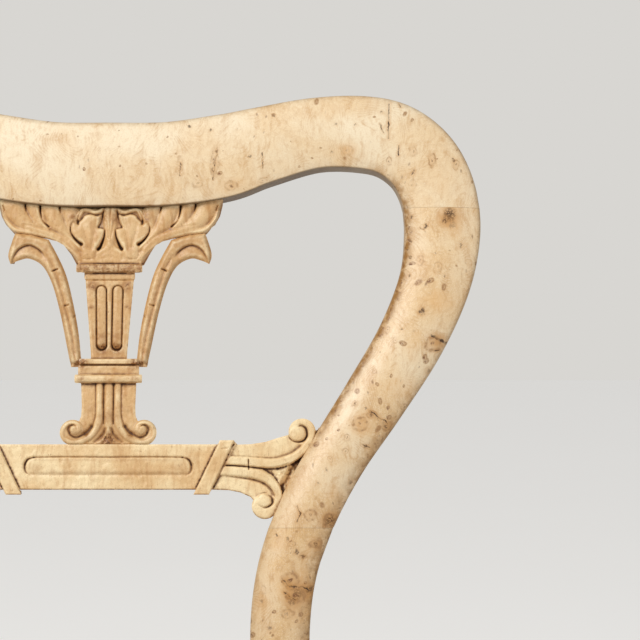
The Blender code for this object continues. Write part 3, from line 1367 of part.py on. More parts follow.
for turn, name in enumerate(("right", "back", "left", "front")):
    angle = turn * QUARTER
    leg = node(f"{name}_leg", turned_to(moved(loft(list(leg_rings())), UPRIGHT), angle), "burl", turns=False)
    add(leg, turned_to(moved(prism([foot_outline], -disc_half, disc_half), UPRIGHT), angle))
    add(leg, turned_to(moved(prism([foot_spiral], -band_half, band_half), UPRIGHT), angle))
    cut(leg, rod(hub_face, (0, 0, 0), (0, 0, SEAT_HEIGHT), HUB_STEPS))
    add(leg, turned_to(dovetail(0, dovetail_bottom, dovetail_top), angle))
    cut(hub, turned_to(dovetail(GLUE_GAP, HUB_BOTTOM - DOVETAIL_DEPTH, dovetail_top + GLUE_GAP), angle))
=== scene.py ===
import math

import bmesh
import bpy
import numpy as np
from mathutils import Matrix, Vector


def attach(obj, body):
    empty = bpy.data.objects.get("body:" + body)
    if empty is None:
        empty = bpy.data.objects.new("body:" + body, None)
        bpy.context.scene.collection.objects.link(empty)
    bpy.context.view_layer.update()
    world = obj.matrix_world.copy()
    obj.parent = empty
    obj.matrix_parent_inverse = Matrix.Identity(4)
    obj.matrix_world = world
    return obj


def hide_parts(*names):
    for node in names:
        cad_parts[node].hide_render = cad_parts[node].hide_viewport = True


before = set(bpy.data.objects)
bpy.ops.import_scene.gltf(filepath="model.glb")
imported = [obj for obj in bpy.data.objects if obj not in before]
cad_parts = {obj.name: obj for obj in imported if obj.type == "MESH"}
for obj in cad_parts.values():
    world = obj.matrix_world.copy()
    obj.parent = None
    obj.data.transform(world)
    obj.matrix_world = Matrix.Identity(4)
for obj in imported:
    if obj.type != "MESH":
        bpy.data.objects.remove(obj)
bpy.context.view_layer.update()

# Scroll legs
# Four legs of pale burl, sawn from the plank, rounded over and slid on dovetails into the hub.
# Each falls in an S to a volute that is carved on both faces and stands on a small flat.
MM = 0.001
SIDES = {"right": 0, "back": 90, "left": 180, "front": 270}
LEG_GRID = 1.3
LEG_HALF_THICKNESS = 17 * MM
LEG_EDGE_ROUND = 6 * MM
LEG_START = 41 * MM
LEG_COURSE = np.array([
    # out, up, width
    (33.0, 171.0, 80.0),
    (68.2, 179.7, 74.9),
    (112.2, 171.0, 58.6),
    (154.0, 137.6, 43.3),
    (191.4, 92.6, 34.6),
    (222.2, 54.8, 29.0),
    (248.6, 40.3, 29.0),
]) * MM
FOOT_EYE = np.array((253.0, 25.8)) * MM
FOOT_RADIUS = 27 * MM
FOOT_PROUD = 1.6 * MM
FOOT_EDGE_ROUND = 3 * MM
FOOT_BUTTON = 6.5 * MM
FOOT_BUTTON_HEIGHT = 1.4 * MM
CREASE = 40
UNDERCUT_PASSES = 12
CLOSE_PASSES = 24
CLOSE_DEPTH = 0.9 * MM
WIDE_PASSES = 100
WIDE_DEPTH = 1.6 * MM
RECESS_EASE = 1.0 * MM
BACK_RECESS = 0.02


def line_through(points, steps):
    """A smooth line through the given points."""
    points = np.asarray(points, float)
    padded = np.vstack([2 * points[0] - points[1], points, 2 * points[-1] - points[-2]])
    line = []
    for before, start, end, after in zip(padded, padded[1:], padded[2:], padded[3:]):
        for share in np.arange(steps) / steps:
            line.append(
                start
                + (end - before) / 2 * share
                + (before - 2.5 * start + 2 * end - after / 2) * share**2
                + (1.5 * (start - end) + (after - before) / 2) * share**3
            )
    return np.array(line + [points[-1]])


def widened(line, widths):
    """The outline of a band of changing width along a line."""
    along = np.gradient(line, axis=0)
    along /= np.linalg.norm(along, axis=1)[:, None]
    across = np.column_stack([-along[:, 1], along[:, 0]]) * np.asarray(widths)[:, None] / 2
    return np.vstack([line - across, (line + across)[::-1]])


def along_line(share, values):
    """Values given at even steps along a line, read off at shares of its length."""
    return np.interp(share, np.linspace(0, 1, np.size(values)), np.ravel(values))


def spiral(eye, radii, angles, steps=40):
    """A line that winds round an eye, from radius to radius and from angle to angle in degrees."""
    share = np.linspace(0, 1, steps)
    radius = along_line(share, radii)
    angle = np.radians(along_line(share, angles))
    return np.column_stack([eye[0] + radius * np.cos(angle), eye[1] + radius * np.sin(angle)])


def nearest(board, line):
    """How far each point of a board lies from a line, and how far along the line the nearest point is."""
    across, up = board
    line = np.asarray(line, float)
    lengths = np.linalg.norm(np.diff(line, axis=0), axis=1)
    starts = np.concatenate([[0], np.cumsum(lengths)])
    best = np.full(across.shape, np.inf)
    share = np.zeros(across.shape)
    for (x, y), (run, rise), length, start in zip(line, np.diff(line, axis=0), lengths, starts):
        if length == 0:
            continue
        part = np.clip(((across - x) * run + (up - y) * rise) / length**2, 0, 1)
        gap = np.hypot(across - x - part * run, up - y - part * rise)
        closer = gap < best
        best[closer] = gap[closer]
        share[closer] = (start + part[closer] * length) / starts[-1]
    return best, share


def inside(board, outline):
    """How far each point of a board lies in from a closed outline; less than nought outside it."""
    across, up = board
    outline = np.asarray(outline, float)
    closed = np.vstack([outline, outline[:1]])
    within = np.zeros(across.shape, bool)
    for (x, y), (run, rise) in zip(closed, np.diff(closed, axis=0)):
        if rise != 0:
            crosses = (y > up) != (y + rise > up)
            within ^= crosses & (across < x + (up - y) * run / rise)
    return np.where(within, 1, -1) * nearest(board, closed)[0]


def reach_from(board, middle):
    """How far each point of a board lies from one point of it."""
    return np.hypot(board[0] - middle[0], board[1] - middle[1])


def dome(reach, power=2):
    """The height of a dome, from one over its middle down to nought at reach one."""
    return np.sqrt(np.clip(1 - reach**power, 0, 1))


def fade(reach):
    """One at reach nought, and soft on its way to nothing."""
    return np.exp(-(reach**2))


def eased(distance, radius):
    """How much a rounded edge has dropped at a distance in from it."""
    return radius * (1 - np.sqrt(1 - np.clip(1 - distance / radius, 0, 1) ** 2))


def grooved(board, line, width, depth):
    """A groove along a line; width and depth may change on the way."""
    gap, share = nearest(board, line)
    return along_line(share, depth) * fade(gap / along_line(share, width))


def neighbours(padded):
    """The sum of the four neighbours of each point of a field that has a border round it."""
    return padded[:-2, 1:-1] + padded[2:, 1:-1] + padded[1:-1, :-2] + padded[1:-1, 2:]


def blurred(field, passes):
    """A field with its detail evened out."""
    for _ in range(passes):
        field = (neighbours(np.pad(field, 1, mode="edge")) + 4 * field) / 8
    return field


def new_piece(name, points, faces, body, replaced, slot, finish, crease=CREASE):
    """A piece of the chair as an object: smooth but for its creases, on its body, in place of CAD nodes."""
    mesh = bpy.data.meshes.new(name)
    mesh.from_pydata([tuple(point) for point in points], [], [tuple(face) for face in faces])
    mesh.shade_smooth()
    mesh.set_sharp_from_angle(angle=math.radians(crease))
    piece = bpy.data.objects.new(name, mesh)
    bpy.context.scene.collection.objects.link(piece)
    mesh.materials.append(finish)
    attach(piece, body)
    if replaced:
        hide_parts(*replaced)
    return piece


def mark(piece, name, values):
    """Give every point of a piece a value that its finish can use."""
    marks = piece.data.attributes.new(name, "FLOAT", "POINT")
    marks.data.foreach_set("value", np.asarray(values, float))


def carved(name, board, depth_in, front, back, place, undercut=0.0, stain_and_shade=0.0, **fixing):
    """A carved board as a closed piece: a front of many heights, a back, and the edge between them.

    The edge may be cut back under the front. A mark at every point says how deep it lies below what is
    round it, or how proud, so that the finish can darken it with glaze, dirt and painted shade, or lighten
    it with wear and painted highlight; another says how stained it is, or how much painted shade it takes.
    """
    across, up = board
    pitch = across[0, 1] - across[0, 0]
    middle = (depth_in[:-1, :-1] + depth_in[:-1, 1:] + depth_in[1:, 1:] + depth_in[1:, :-1]) / 4
    keep = middle > 0
    for _ in range(2):
        falls = keep[:-1, :-1] & keep[1:, 1:] & ~keep[:-1, 1:] & ~keep[1:, :-1]
        keep[:-1, 1:] |= falls
        rises = keep[:-1, 1:] & keep[1:, :-1] & ~keep[:-1, :-1] & ~keep[1:, 1:]
        keep[:-1, :-1] |= rises
    number = np.arange(across.size).reshape(across.shape)
    quads = np.stack([number[:-1, :-1], number[:-1, 1:], number[1:, 1:], number[1:, :-1]], -1)[keep]
    edges = np.vstack([quads[:, [corner, (corner + 1) % 4]] for corner in range(4)])
    codes = edges[:, 0] * across.size + edges[:, 1]
    rim = edges[~np.isin(codes, edges[:, 1] * across.size + edges[:, 0])]
    slope_up, slope_across = np.gradient(depth_in, pitch)
    steepness = np.maximum(slope_across**2 + slope_up**2, 0.2)
    on_rim = np.zeros(across.size, bool)
    on_rim[rim.ravel()] = True
    on_rim = on_rim.reshape(across.shape)
    step = np.clip(np.where(on_rim, depth_in / steepness, 0), -pitch, pitch)
    across = across - step * slope_across
    up = up - step * slope_up
    used = np.unique(quads)
    order = np.full(across.size, -1)
    order[used] = np.arange(used.size)
    front_points = np.column_stack([across.ravel(), up.ravel(), front.ravel()])[used]
    inward = np.maximum(undercut - np.maximum(depth_in, 0) / 2, 0) / np.sqrt(steepness)
    across = across + blurred(inward * slope_across, UNDERCUT_PASSES)
    up = up + blurred(inward * slope_up, UNDERCUT_PASSES)
    back = np.broadcast_to(back, across.shape)
    back_points = np.column_stack([across.ravel(), up.ravel(), back.ravel()])[used]
    points = [place(*point) for point in np.vstack([front_points, back_points])]
    quads = order[quads]
    rim = order[rim]
    count = used.size
    walls = np.column_stack([rim[:, 0], rim[:, 0] + count, rim[:, 1] + count, rim[:, 1]])
    faces = np.vstack([quads, quads[:, ::-1] + count, walls])
    piece = new_piece(name, points, faces.tolist(), **fixing)
    # The recess mark: below its surroundings the finish paints glaze, dirt and shade; proud of them, wear and
    # highlight.
    close = (blurred(front, CLOSE_PASSES) - front) / CLOSE_DEPTH
    wide = (blurred(front, WIDE_PASSES) - front) / WIDE_DEPTH
    sunk = np.clip(0.6 * close + 0.35 * wide, -1, 1)
    sunk = np.where(sunk > 0, sunk * np.clip(depth_in / RECESS_EASE, 0.25, 1), sunk).ravel()[used]
    mark(piece, "recess", np.concatenate([sunk, np.full(count, BACK_RECESS)]))
    stained_and_shaded = np.broadcast_to(stain_and_shade, front.shape).ravel()[used]
    mark(piece, "stain_and_shade", np.concatenate([stained_and_shaded, np.zeros(count)]))
    shape = bmesh.new()
    shape.from_mesh(piece.data)
    bmesh.ops.remove_doubles(shape, verts=shape.verts, dist=pitch / 4)
    shape.to_mesh(piece.data)
    shape.free()
    piece.data.set_sharp_from_angle(angle=math.radians(CREASE))
    return piece


class Wire:
    """What comes out of a shader node. Sums with wires and numbers put in the Math nodes they need."""

    def __init__(self, socket):
        self.socket = socket

    def node(self, kind, settings, inputs, output=0):
        """A node of a kind beside this one: its settings first, then its values and what is wired in."""
        made = self.socket.id_data.nodes.new("ShaderNode" + kind)
        for name, value in settings.items():
            setattr(made, name, value)
        for name, value in inputs.items():
            plug(made.inputs[name], value)
        return Wire(made.outputs[output])

    def math(self, operation, *values):
        return self.node("Math", {"operation": operation}, dict(enumerate(values)))

    def vector(self, operation, *values):
        return self.node("VectorMath", {"operation": operation}, dict(enumerate(values)))

    def __add__(self, other):
        return self.math("ADD", self, other)

    def __sub__(self, other):
        return self.math("SUBTRACT", self, other)

    def __rsub__(self, other):
        return self.math("SUBTRACT", other, self)

    def __mul__(self, other):
        return self.math("MULTIPLY", self, other)

    def __truediv__(self, other):
        return self.math("DIVIDE", self, other)

    def __rtruediv__(self, other):
        return self.math("DIVIDE", other, self)

    __radd__ = __add__
    __rmul__ = __mul__

    def between(self, low, high):
        """Nought below low, one above high, and a smooth rise from one to the other."""
        inputs = {"Value": self, "From Min": low, "From Max": high}
        return self.node("MapRange", {"interpolation_type": "SMOOTHSTEP"}, inputs)

    def noise(self, scale, detail=2.0, output="Fac"):
        """Cloudy noise over the places this wire stands for."""
        return self.node("TexNoise", {}, {"Vector": self, "Scale": scale, "Detail": detail}, output)

    def swayed(self, scale, reach):
        """These places, shifted to and fro."""
        drift = self.vector("SUBTRACT", self.noise(scale, 2.0, "Color"), (0.5, 0.5, 0.5))
        return self.vector("ADD", self, drift.stretched(reach, reach, reach))

    def stretched(self, *scales):
        """These places, measured longer or shorter each way."""
        return self.vector("MULTIPLY", self, scales)

    def cells(self, scale, feature="F1"):
        """How far these places lie from the middle of a cell, or from its edge."""
        return self.node("TexVoronoi", {"feature": feature}, {"Vector": self, "Scale": scale}, "Distance")

    def chance(self):
        """A number that is the same all over a cell."""
        return self.node("SeparateColor", {}, {"Color": self.also("Color")}, "Red")

    def marked(self, name):
        """The mark that the points of the piece carry under a name."""
        return self.node("Attribute", {"attribute_name": name}, {}, "Fac")

    def sine(self):
        return self.math("SINE", self)

    def most(self, other):
        """This or the other, whichever is more."""
        return self.math("MAXIMUM", self, other)

    def also(self, output):
        """Another thing that comes out of the same node."""
        return Wire(self.socket.node.outputs[output])

    def gap_from(self, start, end):
        """How far these places lie from a straight stretch."""
        run = end - start
        away = self.vector("SUBTRACT", self, start)
        share = away.vector("DOT_PRODUCT", away, run / run.length_squared).also("Value")
        share = share.node("Clamp", {}, {"Value": share})
        reached = away.node("VectorMath", {"operation": "SCALE"}, {0: run, "Scale": share})
        return away.vector("DISTANCE", away, reached).also("Value")

    def far_from(self, middle, half_width, half_height):
        """How far these places lie from the middle of an oval on the face, in its own half sizes."""
        away = self.vector("SUBTRACT", self, middle)
        away = away.stretched(1 / half_width, 0.0, 1 / half_height)
        return away.vector("LENGTH", away).also("Value")

    def coloured(self, low, high):
        """A colour between two, by this wire: the first at nought, the second at one."""
        settings = {"data_type": "RGBA", "clamp_factor": True}
        return self.node("Mix", settings, {0: self, 6: low, 7: high}, 2)


def plug(socket, value):
    """Wire into a socket, or set its value."""
    if isinstance(value, Wire):
        socket.id_data.links.new(value.socket, socket)
    elif isinstance(value, tuple) and len(value) == 3 and socket.type == "RGBA":
        socket.default_value = (*value, 1.0)
    else:
        socket.default_value = value


def shade(red, green, blue):
    """A colour as a colour picker shows it, for the shader."""
    parts = (red / 255, green / 255, blue / 255)
    return tuple(part / 12.92 if part <= 0.04045 else ((part + 0.055) / 1.055) ** 2.4 for part in parts)


def new_finish(name, **even):
    """A new finish: its material, its shader with what is even all over, and the places on the piece."""
    material = bpy.data.materials.new(name)
    material.use_nodes = True
    shader = material.node_tree.nodes["Principled BSDF"]
    for socket, value in even.items():
        plug(shader.inputs[socket.replace("_", " ")], value)
    place = Wire(material.node_tree.nodes.new("ShaderNodeTexCoord").outputs["Object"])
    return material, shader.inputs, place


def bumped(inputs, height, distance, strength=1.0):
    """Raise a finish by a height."""
    settings = {"Height": height, "Distance": distance, "Strength": strength}
    plug(inputs["Normal"], height.node("Bump", {}, settings))


BURL_PALE = shade(253, 241, 218)
BURL_CREAM = shade(244, 225, 191)
BURL_HONEY = shade(226, 184, 124)
BURL_FIBRE = shade(204, 160, 106)
BURL_SPOT = shade(160, 114, 66)
BURL_WARM = shade(226, 174, 108)
BURL_HALO = shade(198, 142, 76)
BURL_RIM = shade(160, 114, 56)
# Colour of the painted shade on the underside of the crest.
BURL_UNDERSIDE_SHADE = shade(96, 70, 40)
BURL_PIN = shade(116, 70, 38)
BURL_DARK = shade(60, 38, 20)
EYE_SCALE = 128.0
EYE_ASIDE = (0.0007, 0.0, 0.0005)
PIN_SCALE = 270.0
SEEN_FLAT = (1.0, 0.0, 1.0)


def burl_finish(name, honey, patches=(), knots=(), rings=(), cracks=()):
    """Bleached burl: wavy fibre, growth lines, bird's-eyes and pins, warm patches, knots and cracks."""
    material, inputs, place = new_finish(name, Coat_Weight=0.08, Coat_Roughness=0.28)
    swayed = place.swayed(24, 0.022)
    clouds = swayed.noise(26, 4.0)
    flame = swayed.stretched(130.0, 130.0, 48.0).noise(1.0, 3.0)
    fibre = swayed.stretched(460.0, 460.0, 110.0).noise(1.0, 5.0)
    growth = swayed.noise(20, 1.0) * 330.0
    lines = growth.sine().between(0.2, 1.0) * flame.between(0.44, 0.62)
    body = (clouds.between(0.30, 0.70) * 0.5 + honey).coloured(BURL_CREAM, BURL_HONEY)
    body = (flame.between(0.50, 0.74) * (0.42 + 0.4 * honey)).coloured(body, BURL_FIBRE)
    body = (fibre.between(0.46, 0.76) * (0.36 + 0.4 * honey)).coloured(body, BURL_FIBRE)
    body = (lines * (0.34 + 0.5 * honey)).coloured(body, BURL_FIBRE)
    swirl = swayed.noise(64, 2.0) * 44.0
    curls = swirl.sine().between(0.1, 1.0) * clouds.between(0.40, 0.62)
    body = (curls * (0.18 + 0.4 * honey)).coloured(body, BURL_FIBRE)
    grit = place.noise(1300, 3.0)
    body = (grit.between(0.50, 0.80) * 0.30).coloured(body, BURL_FIBRE)
    body = (grit.between(0.50, 0.24) * 0.35).coloured(body, BURL_PALE)
    drifting = place.swayed(60, 0.016)
    for middle, half_width, half_height, strength in patches:
        gap = drifting.far_from(middle, half_width, half_height)
        body = ((1.0 - gap.between(0.2, 1.3)) * (fibre * 0.8 + 0.3) * strength).coloured(body, BURL_WARM)
    rim = place.marked("rim")
    body = (rim * (place.noise(170, 4.0).between(0.30, 0.62) * 0.8 + 0.2)).coloured(body, BURL_RIM)
    body = (rim * place.noise(520, 3.0).between(0.55, 0.68) * 0.7).coloured(body, BURL_PIN)
    clusters = place.noise(36, 2.0).between(0.51 - 0.2 * honey, 0.66 - 0.2 * honey)
    clusters = clusters.most(rim * 0.8)
    crumbs = place.noise(900, 3.0).between(0.36, 0.56)

    eyes = swayed.cells(EYE_SCALE)
    size = eyes.chance().between(0.12, 1.0) * (clusters * 0.65 + 0.35)
    spread = eyes / (size * 0.38 + 0.001)
    spots = (1.0 - spread.between(0.60, 1.0)) * (spread.between(0.15, 0.7) * 0.4 + 0.5)
    spots = spots * (crumbs * 0.4 + 0.6)
    pupils = swayed.vector("ADD", swayed, EYE_ASIDE).cells(EYE_SCALE)
    cores = (1.0 - (pupils / (size * 0.20 + 0.001)).between(0.30, 1.0)) * crumbs * 0.9
    dots = swayed.stretched(1.0, 1.0, 0.5).cells(PIN_SCALE)
    picked = dots.chance().between(0.45, 1.0)
    pins = (1.0 - (dots / (picked * 0.30 + 0.001)).between(0.2, 1.0)) * clusters * 0.6

    ragged = place.swayed(300, 0.004).stretched(*SEEN_FLAT)
    wild = place.swayed(190, 0.005)
    broken = place.noise(330, 2.0).between(0.40, 0.62)
    straight = place.swayed(420, 0.0024).stretched(*SEEN_FLAT)
    body = spots.coloured(body, BURL_SPOT)
    darks = cores.most(pins)
    body = darks.coloured(body, BURL_PIN)
    sunk = darks * 0.5
    for middle, reach, strength in knots:
        gap = ragged.vector("DISTANCE", ragged, middle).also("Value")
        warmth = min(0.7, reach / (5 * MM)) * strength
        body = ((1.0 - gap.between(reach * 0.5, reach * 2.2)) * warmth).coloured(body, BURL_HALO)
        core = (1.0 - gap.between(reach * 0.3, reach * (0.35 + 0.8 * strength))) * crumbs * strength
        body = (core * 0.92).coloured(body, BURL_DARK)
        sunk = sunk.most(core)
    for middle, half_width, half_height, strength in rings:
        gap = wild.far_from(middle, half_width, half_height)
        body = ((1.0 - gap.between(0.3, 2.0)) * 0.4 * strength).coloured(body, BURL_HALO)
        ring = gap.between(0.55, 0.9) * (1.0 - gap.between(0.95, 1.25)) * (broken * 0.8 + 0.2)
        body = (ring * 0.95 * strength).coloured(body, BURL_SPOT)
        body = ((1.0 - gap.between(0.10, 0.36)) * crumbs * strength).coloured(body, BURL_PIN)
    for start, end, reach in cracks:
        gap = straight.gap_from(start, end)
        body = ((1.0 - gap.between(reach, reach * 6.0)) * 0.3).coloured(body, BURL_HALO)
        split = (1.0 - gap.between(reach * 0.5, reach * 1.3)) * (broken * 0.7 + 0.3)
        body = (split * 0.95).coloured(body, BURL_DARK)
        sunk = sunk.most(split)
    # Painted shade: the underside_shade mark darkens the inner side face under the crest toward dark brown.
    plug(inputs["Base Color"], (place.marked("underside_shade") * (clouds * 0.4 + 0.65)).coloured(body, BURL_UNDERSIDE_SHADE))
    plug(inputs["Roughness"], fibre * 0.18 + sunk * 0.3 + 0.34)
    bumped(inputs, fibre * 0.4 + lines * 0.15 - sunk * 1.5, 0.4 * MM, 0.5)
    return material


leg_burl = burl_finish("leg_burl", 0.30)
leg_line = line_through(LEG_COURSE, 12)
leg_board = np.meshgrid(np.arange(39, 283, LEG_GRID) * MM, np.arange(-LEG_GRID, 224, LEG_GRID) * MM)
leg_inside = inside(leg_board, widened(leg_line[:, :2], leg_line[:, 2]))
eye_reach = reach_from(leg_board, FOOT_EYE)
foot_inside = np.minimum(FOOT_RADIUS - eye_reach, leg_board[1])
foot_groove = spiral(FOOT_EYE, np.array((27.5, 21, 15.5, 11, 7)) * MM, (112, -90, -290, -470))
leg_face = LEG_HALF_THICKNESS - eased(np.maximum(leg_inside, foot_inside), LEG_EDGE_ROUND)
foot_face = LEG_HALF_THICKNESS + FOOT_PROUD - eased(foot_inside, FOOT_EDGE_ROUND)
leg_face = np.where(foot_inside > 0, np.maximum(leg_face, foot_face), leg_face)
groove_widths = np.array((1.2, 2.2, 2.0, 1.5)) * MM
leg_face = leg_face - grooved(leg_board, foot_groove, groove_widths, 3.2 * MM)
leg_face = blurred(leg_face + FOOT_BUTTON_HEIGHT * dome(eye_reach / FOOT_BUTTON), 2)
leg_reach = np.minimum(np.maximum(leg_inside, foot_inside), leg_board[0] - LEG_START)
for side, turn in SIDES.items():
    ahead = Vector((math.cos(math.radians(turn)), math.sin(math.radians(turn)), 0))
    aside = Vector((math.sin(math.radians(turn)), -math.cos(math.radians(turn)), 0))

    def in_leg(out, up, thick):
        return ahead * out + aside * thick + Vector((0, 0, up))

    carved(
        f"{side}_scroll_leg", leg_board, leg_reach, leg_face, -leg_face, in_leg,
        body="base", replaced=[f"{side}_leg"], slot="burl_wood", finish=leg_burl,
    )

# Hub and drop finial
# The pedestal is turned from one block: a waist, a swelling and a bead over the plain part for the legs.
# A turned knob is glued in from below and hides the tail of the spindle.
HUB_TOP = 356.8 * MM
HUB_BOTTOM = 128.0 * MM
HUB_BORE = 19.0 * MM
HUB_RADIUS = 45.0 * MM
HUB_ARRIS = 1.0 * MM
HUB_BEAD = 6.0 * MM
HUB_BEAD_FOOT = 220.0 * MM
HUB_TOP_ROUND = 3.5 * MM
FINIAL_TOP = 127.7 * MM
FINIAL_DROP = 56.0 * MM
FINIAL_RADIUS = 42.0 * MM
POLE = 0.5 * MM
TURNING_STEPS = 96


def ring_faces(rings, count, closed=False):
    """Faces between rings of points that follow each other, each ring closed in itself."""
    faces = []
    for ring in range(rings if closed else rings - 1):
        here = ring * count
        there = (ring + 1) % rings * count
        for place in range(count):
            after = (place + 1) % count
            faces.append((here + place, there + place, there + after, here + after))
    return faces


def turned(name, profile, start=0, end=360, steps=TURNING_STEPS, shaped=None, **fixing):
    """A turned piece, or a sector of one: its half section swept round the upright axis, then shaped."""
    profile = np.asarray(profile, float)
    whole = end - start == 360
    angles = np.radians(np.linspace(start, end, steps + 1))
    if whole:
        angles = angles[:-1]
    points = np.array([[(out * math.cos(a), out * math.sin(a), up) for out, up in profile] for a in angles])
    if shaped:
        points = shaped(points)
    points = points.reshape(-1, 3)
    count = len(profile)
    faces = ring_faces(len(angles), count, whole)
    if not whole:
        faces.append(tuple(range(count)))
        faces.append(tuple(reversed(range(len(points) - count, len(points)))))
    return new_piece(name, points, faces, **fixing)


def corner(centre, radius, start, end, steps=6):
    """A round corner of a profile."""
    angles = np.radians(np.linspace(start, end, steps + 1))
    return np.column_stack([centre[0] + radius * np.cos(angles), centre[1] + radius * np.sin(angles)])


hub_burl = burl_finish("hub_burl", 0.25)
waist = line_through(np.array([
    (45.0, 347.0), (39.6, 342.8), (29.0, 320.6), (31.3, 302.9), (41.4, 274.1), (46.0, 251.9), (42.3, 232.0),
]) * MM, 8)
hub_profile = np.vstack([
    [(HUB_BORE, HUB_BOTTOM)],
    corner((HUB_RADIUS - HUB_ARRIS, HUB_BOTTOM + HUB_ARRIS), HUB_ARRIS, -90, 0),
    [(HUB_RADIUS, HUB_BEAD_FOOT)],
    corner((HUB_RADIUS, HUB_BEAD_FOOT + HUB_BEAD), HUB_BEAD, -90, 90, 12),
    waist[::-1],
    corner((HUB_RADIUS - HUB_TOP_ROUND, HUB_TOP - HUB_TOP_ROUND), HUB_TOP_ROUND, 0, 90),
    [(HUB_BORE, HUB_TOP)],
])
turned("turned_hub", hub_profile, body="base", replaced=["hub"], slot="burl_wood", finish=hub_burl)
finial_line = line_through([
    # out, share of the drop
    (0.043, -0.10), (0.024, -0.30), (0.031, -0.56), (0.0205, -0.86), (POLE, -1.0),
], 10)
finial_line = finial_line * (1, FINIAL_DROP) + (0, FINIAL_TOP)
finial_profile = np.vstack([[(POLE, FINIAL_TOP)], [(FINIAL_RADIUS, FINIAL_TOP)], finial_line])[::-1]
turned(
    "turned_finial", finial_profile, body="base", replaced=["drop_finial"], slot="burl_wood", finish=hub_burl,
)

# Swivel
# A flanged iron socket is let into the hub and screwed down; a brass washer on it carries the iron plate.
# The plate's spindle hangs in the socket and is held from below by a washer and nut inside the hub.
IRON_DARK = shade(52, 49, 47)
IRON_PALE = shade(104, 98, 92)
IRON_RUST = shade(112, 70, 44)
BRASS_BRIGHT = shade(196, 160, 92)
BRASS_DULL = shade(128, 96, 52)
WASHER_BORE = 13.5 * MM
WASHER_RADIUS = 22.0 * MM
WASHER_BOTTOM = 363.4 * MM
WASHER_TOP = 365.4 * MM
WASHER_ROUND = 0.8 * MM


def metal_finish(name, dark, pale, stain_and_shade, rough):
    """Old metal, brushed by use and stained in the corners."""
    material, inputs, place = new_finish(name, Metallic=0.85)
    wear = place.noise(60, 5.0)
    specks = place.noise(420, 3.0)
    body = wear.between(0.35, 0.70).coloured(dark, pale)
    plug(inputs["Base Color"], (specks * wear).between(0.30, 0.48).coloured(body, stain_and_shade))
    plug(inputs["Roughness"], specks * 0.25 + rough)
    bumped(inputs, specks + wear * 0.5, 0.25 * MM, 0.5)
    return material


def refinish(names, finish):
    """Give pieces that stay as the frame has them a finish."""
    for name in names:
        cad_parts[name].data.materials.clear()
        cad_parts[name].data.materials.append(finish)


iron = metal_finish("iron", IRON_DARK, IRON_PALE, IRON_RUST, 0.38)
brass = metal_finish("brass", BRASS_DULL, BRASS_BRIGHT, BRASS_DULL, 0.22)
refinish(("socket", "spindle", "tail_washer", "tail_nut", "swivel_plate"), iron)
washer_profile = np.vstack([
    [(WASHER_BORE, WASHER_BOTTOM)],
    corner((WASHER_RADIUS - WASHER_ROUND, WASHER_BOTTOM + WASHER_ROUND), WASHER_ROUND, -90, 0),
    corner((WASHER_RADIUS - WASHER_ROUND, WASHER_TOP - WASHER_ROUND), WASHER_ROUND, 0, 90),
    [(WASHER_BORE, WASHER_TOP)],
])
turned("brass_washer", washer_profile, body="base", replaced=["thrust_washer"], slot="brass", finish=brass)

SCREW_RADIUS = 4.2 * MM
SCREW_HEIGHT = 1.6 * MM
SCREW_CROWN = 0.8 * MM
SLOT_HALF_WIDTH = 0.55 * MM
SLOT_DEPTH = 0.7 * MM
PLATE_CIRCLE = 98.0 * MM
PLATE_UNDERSIDE = 365.7 * MM
FLANGE_CIRCLE = 30.0 * MM
FLANGE_TOP = 363.1 * MM
screw_steps = np.arange(-4.5, 4.6, 0.3) * MM
screw_board = np.meshgrid(screw_steps, screw_steps)
screw_reach = np.hypot(*screw_board)
screw_face = SCREW_HEIGHT - SCREW_CROWN * (screw_reach / SCREW_RADIUS) ** 2
screw_face = np.where(np.abs(screw_board[0]) < SLOT_HALF_WIDTH, screw_face - SLOT_DEPTH, screw_face)
screws = [
    (name, angle, circle, seat, way, body)
    for side, turn in SIDES.items()
    for name, angle, circle, seat, way, body in (
        (f"{side}_plate_screw", turn, PLATE_CIRCLE, PLATE_UNDERSIDE, -1, "seat_and_back"),
        (f"{side}_flange_screw", turn + 45, FLANGE_CIRCLE, FLANGE_TOP, 1, "base"),
    )
]
for name, angle, circle, seat, way, body in screws:
    middle = (circle * math.cos(math.radians(angle)), circle * math.sin(math.radians(angle)))

    def on_metal(across, up, high):
        return Vector((middle[0] + across, middle[1] + way * up, seat + way * high))

    carved(
        f"{name}_head", screw_board, SCREW_RADIUS - screw_reach, screw_face, 0.0, on_metal,
        body=body, replaced=[name], slot="iron", finish=iron,
    )

# Seat ring
# Four bent rails of burl, butted on loose tongues, with a small bead run round the bottom outside.
# A rabbet inside carries the drop-in seat; the crossed beech battens are housed from below.
RING_RADIUS = 238 * MM
RING_OPENING = 188 * MM
RING_BORE = 172 * MM
RING_BOTTOM = 374 * MM
RING_TOP = 430 * MM
RING_LEDGE = 412 * MM
RING_ROUND = 4 * MM
RING_BORE_ARRIS = 1.0 * MM
RING_FOOT_ARRIS = 1.2 * MM
RING_INNER_ARRIS = 2.0 * MM
RING_PLAIN_FROM = 12 * MM
RING_PLAIN_TO = 6 * MM
BEAD_RADIUS = 3.5 * MM
HOUSING_ROOM = 0.3 * MM
BATTEN_WIDTH = 46 * MM
BATTEN_TOP = 394 * MM
BATTEN_REACH = 198 * MM
JOINT_ANGLE = 0.03

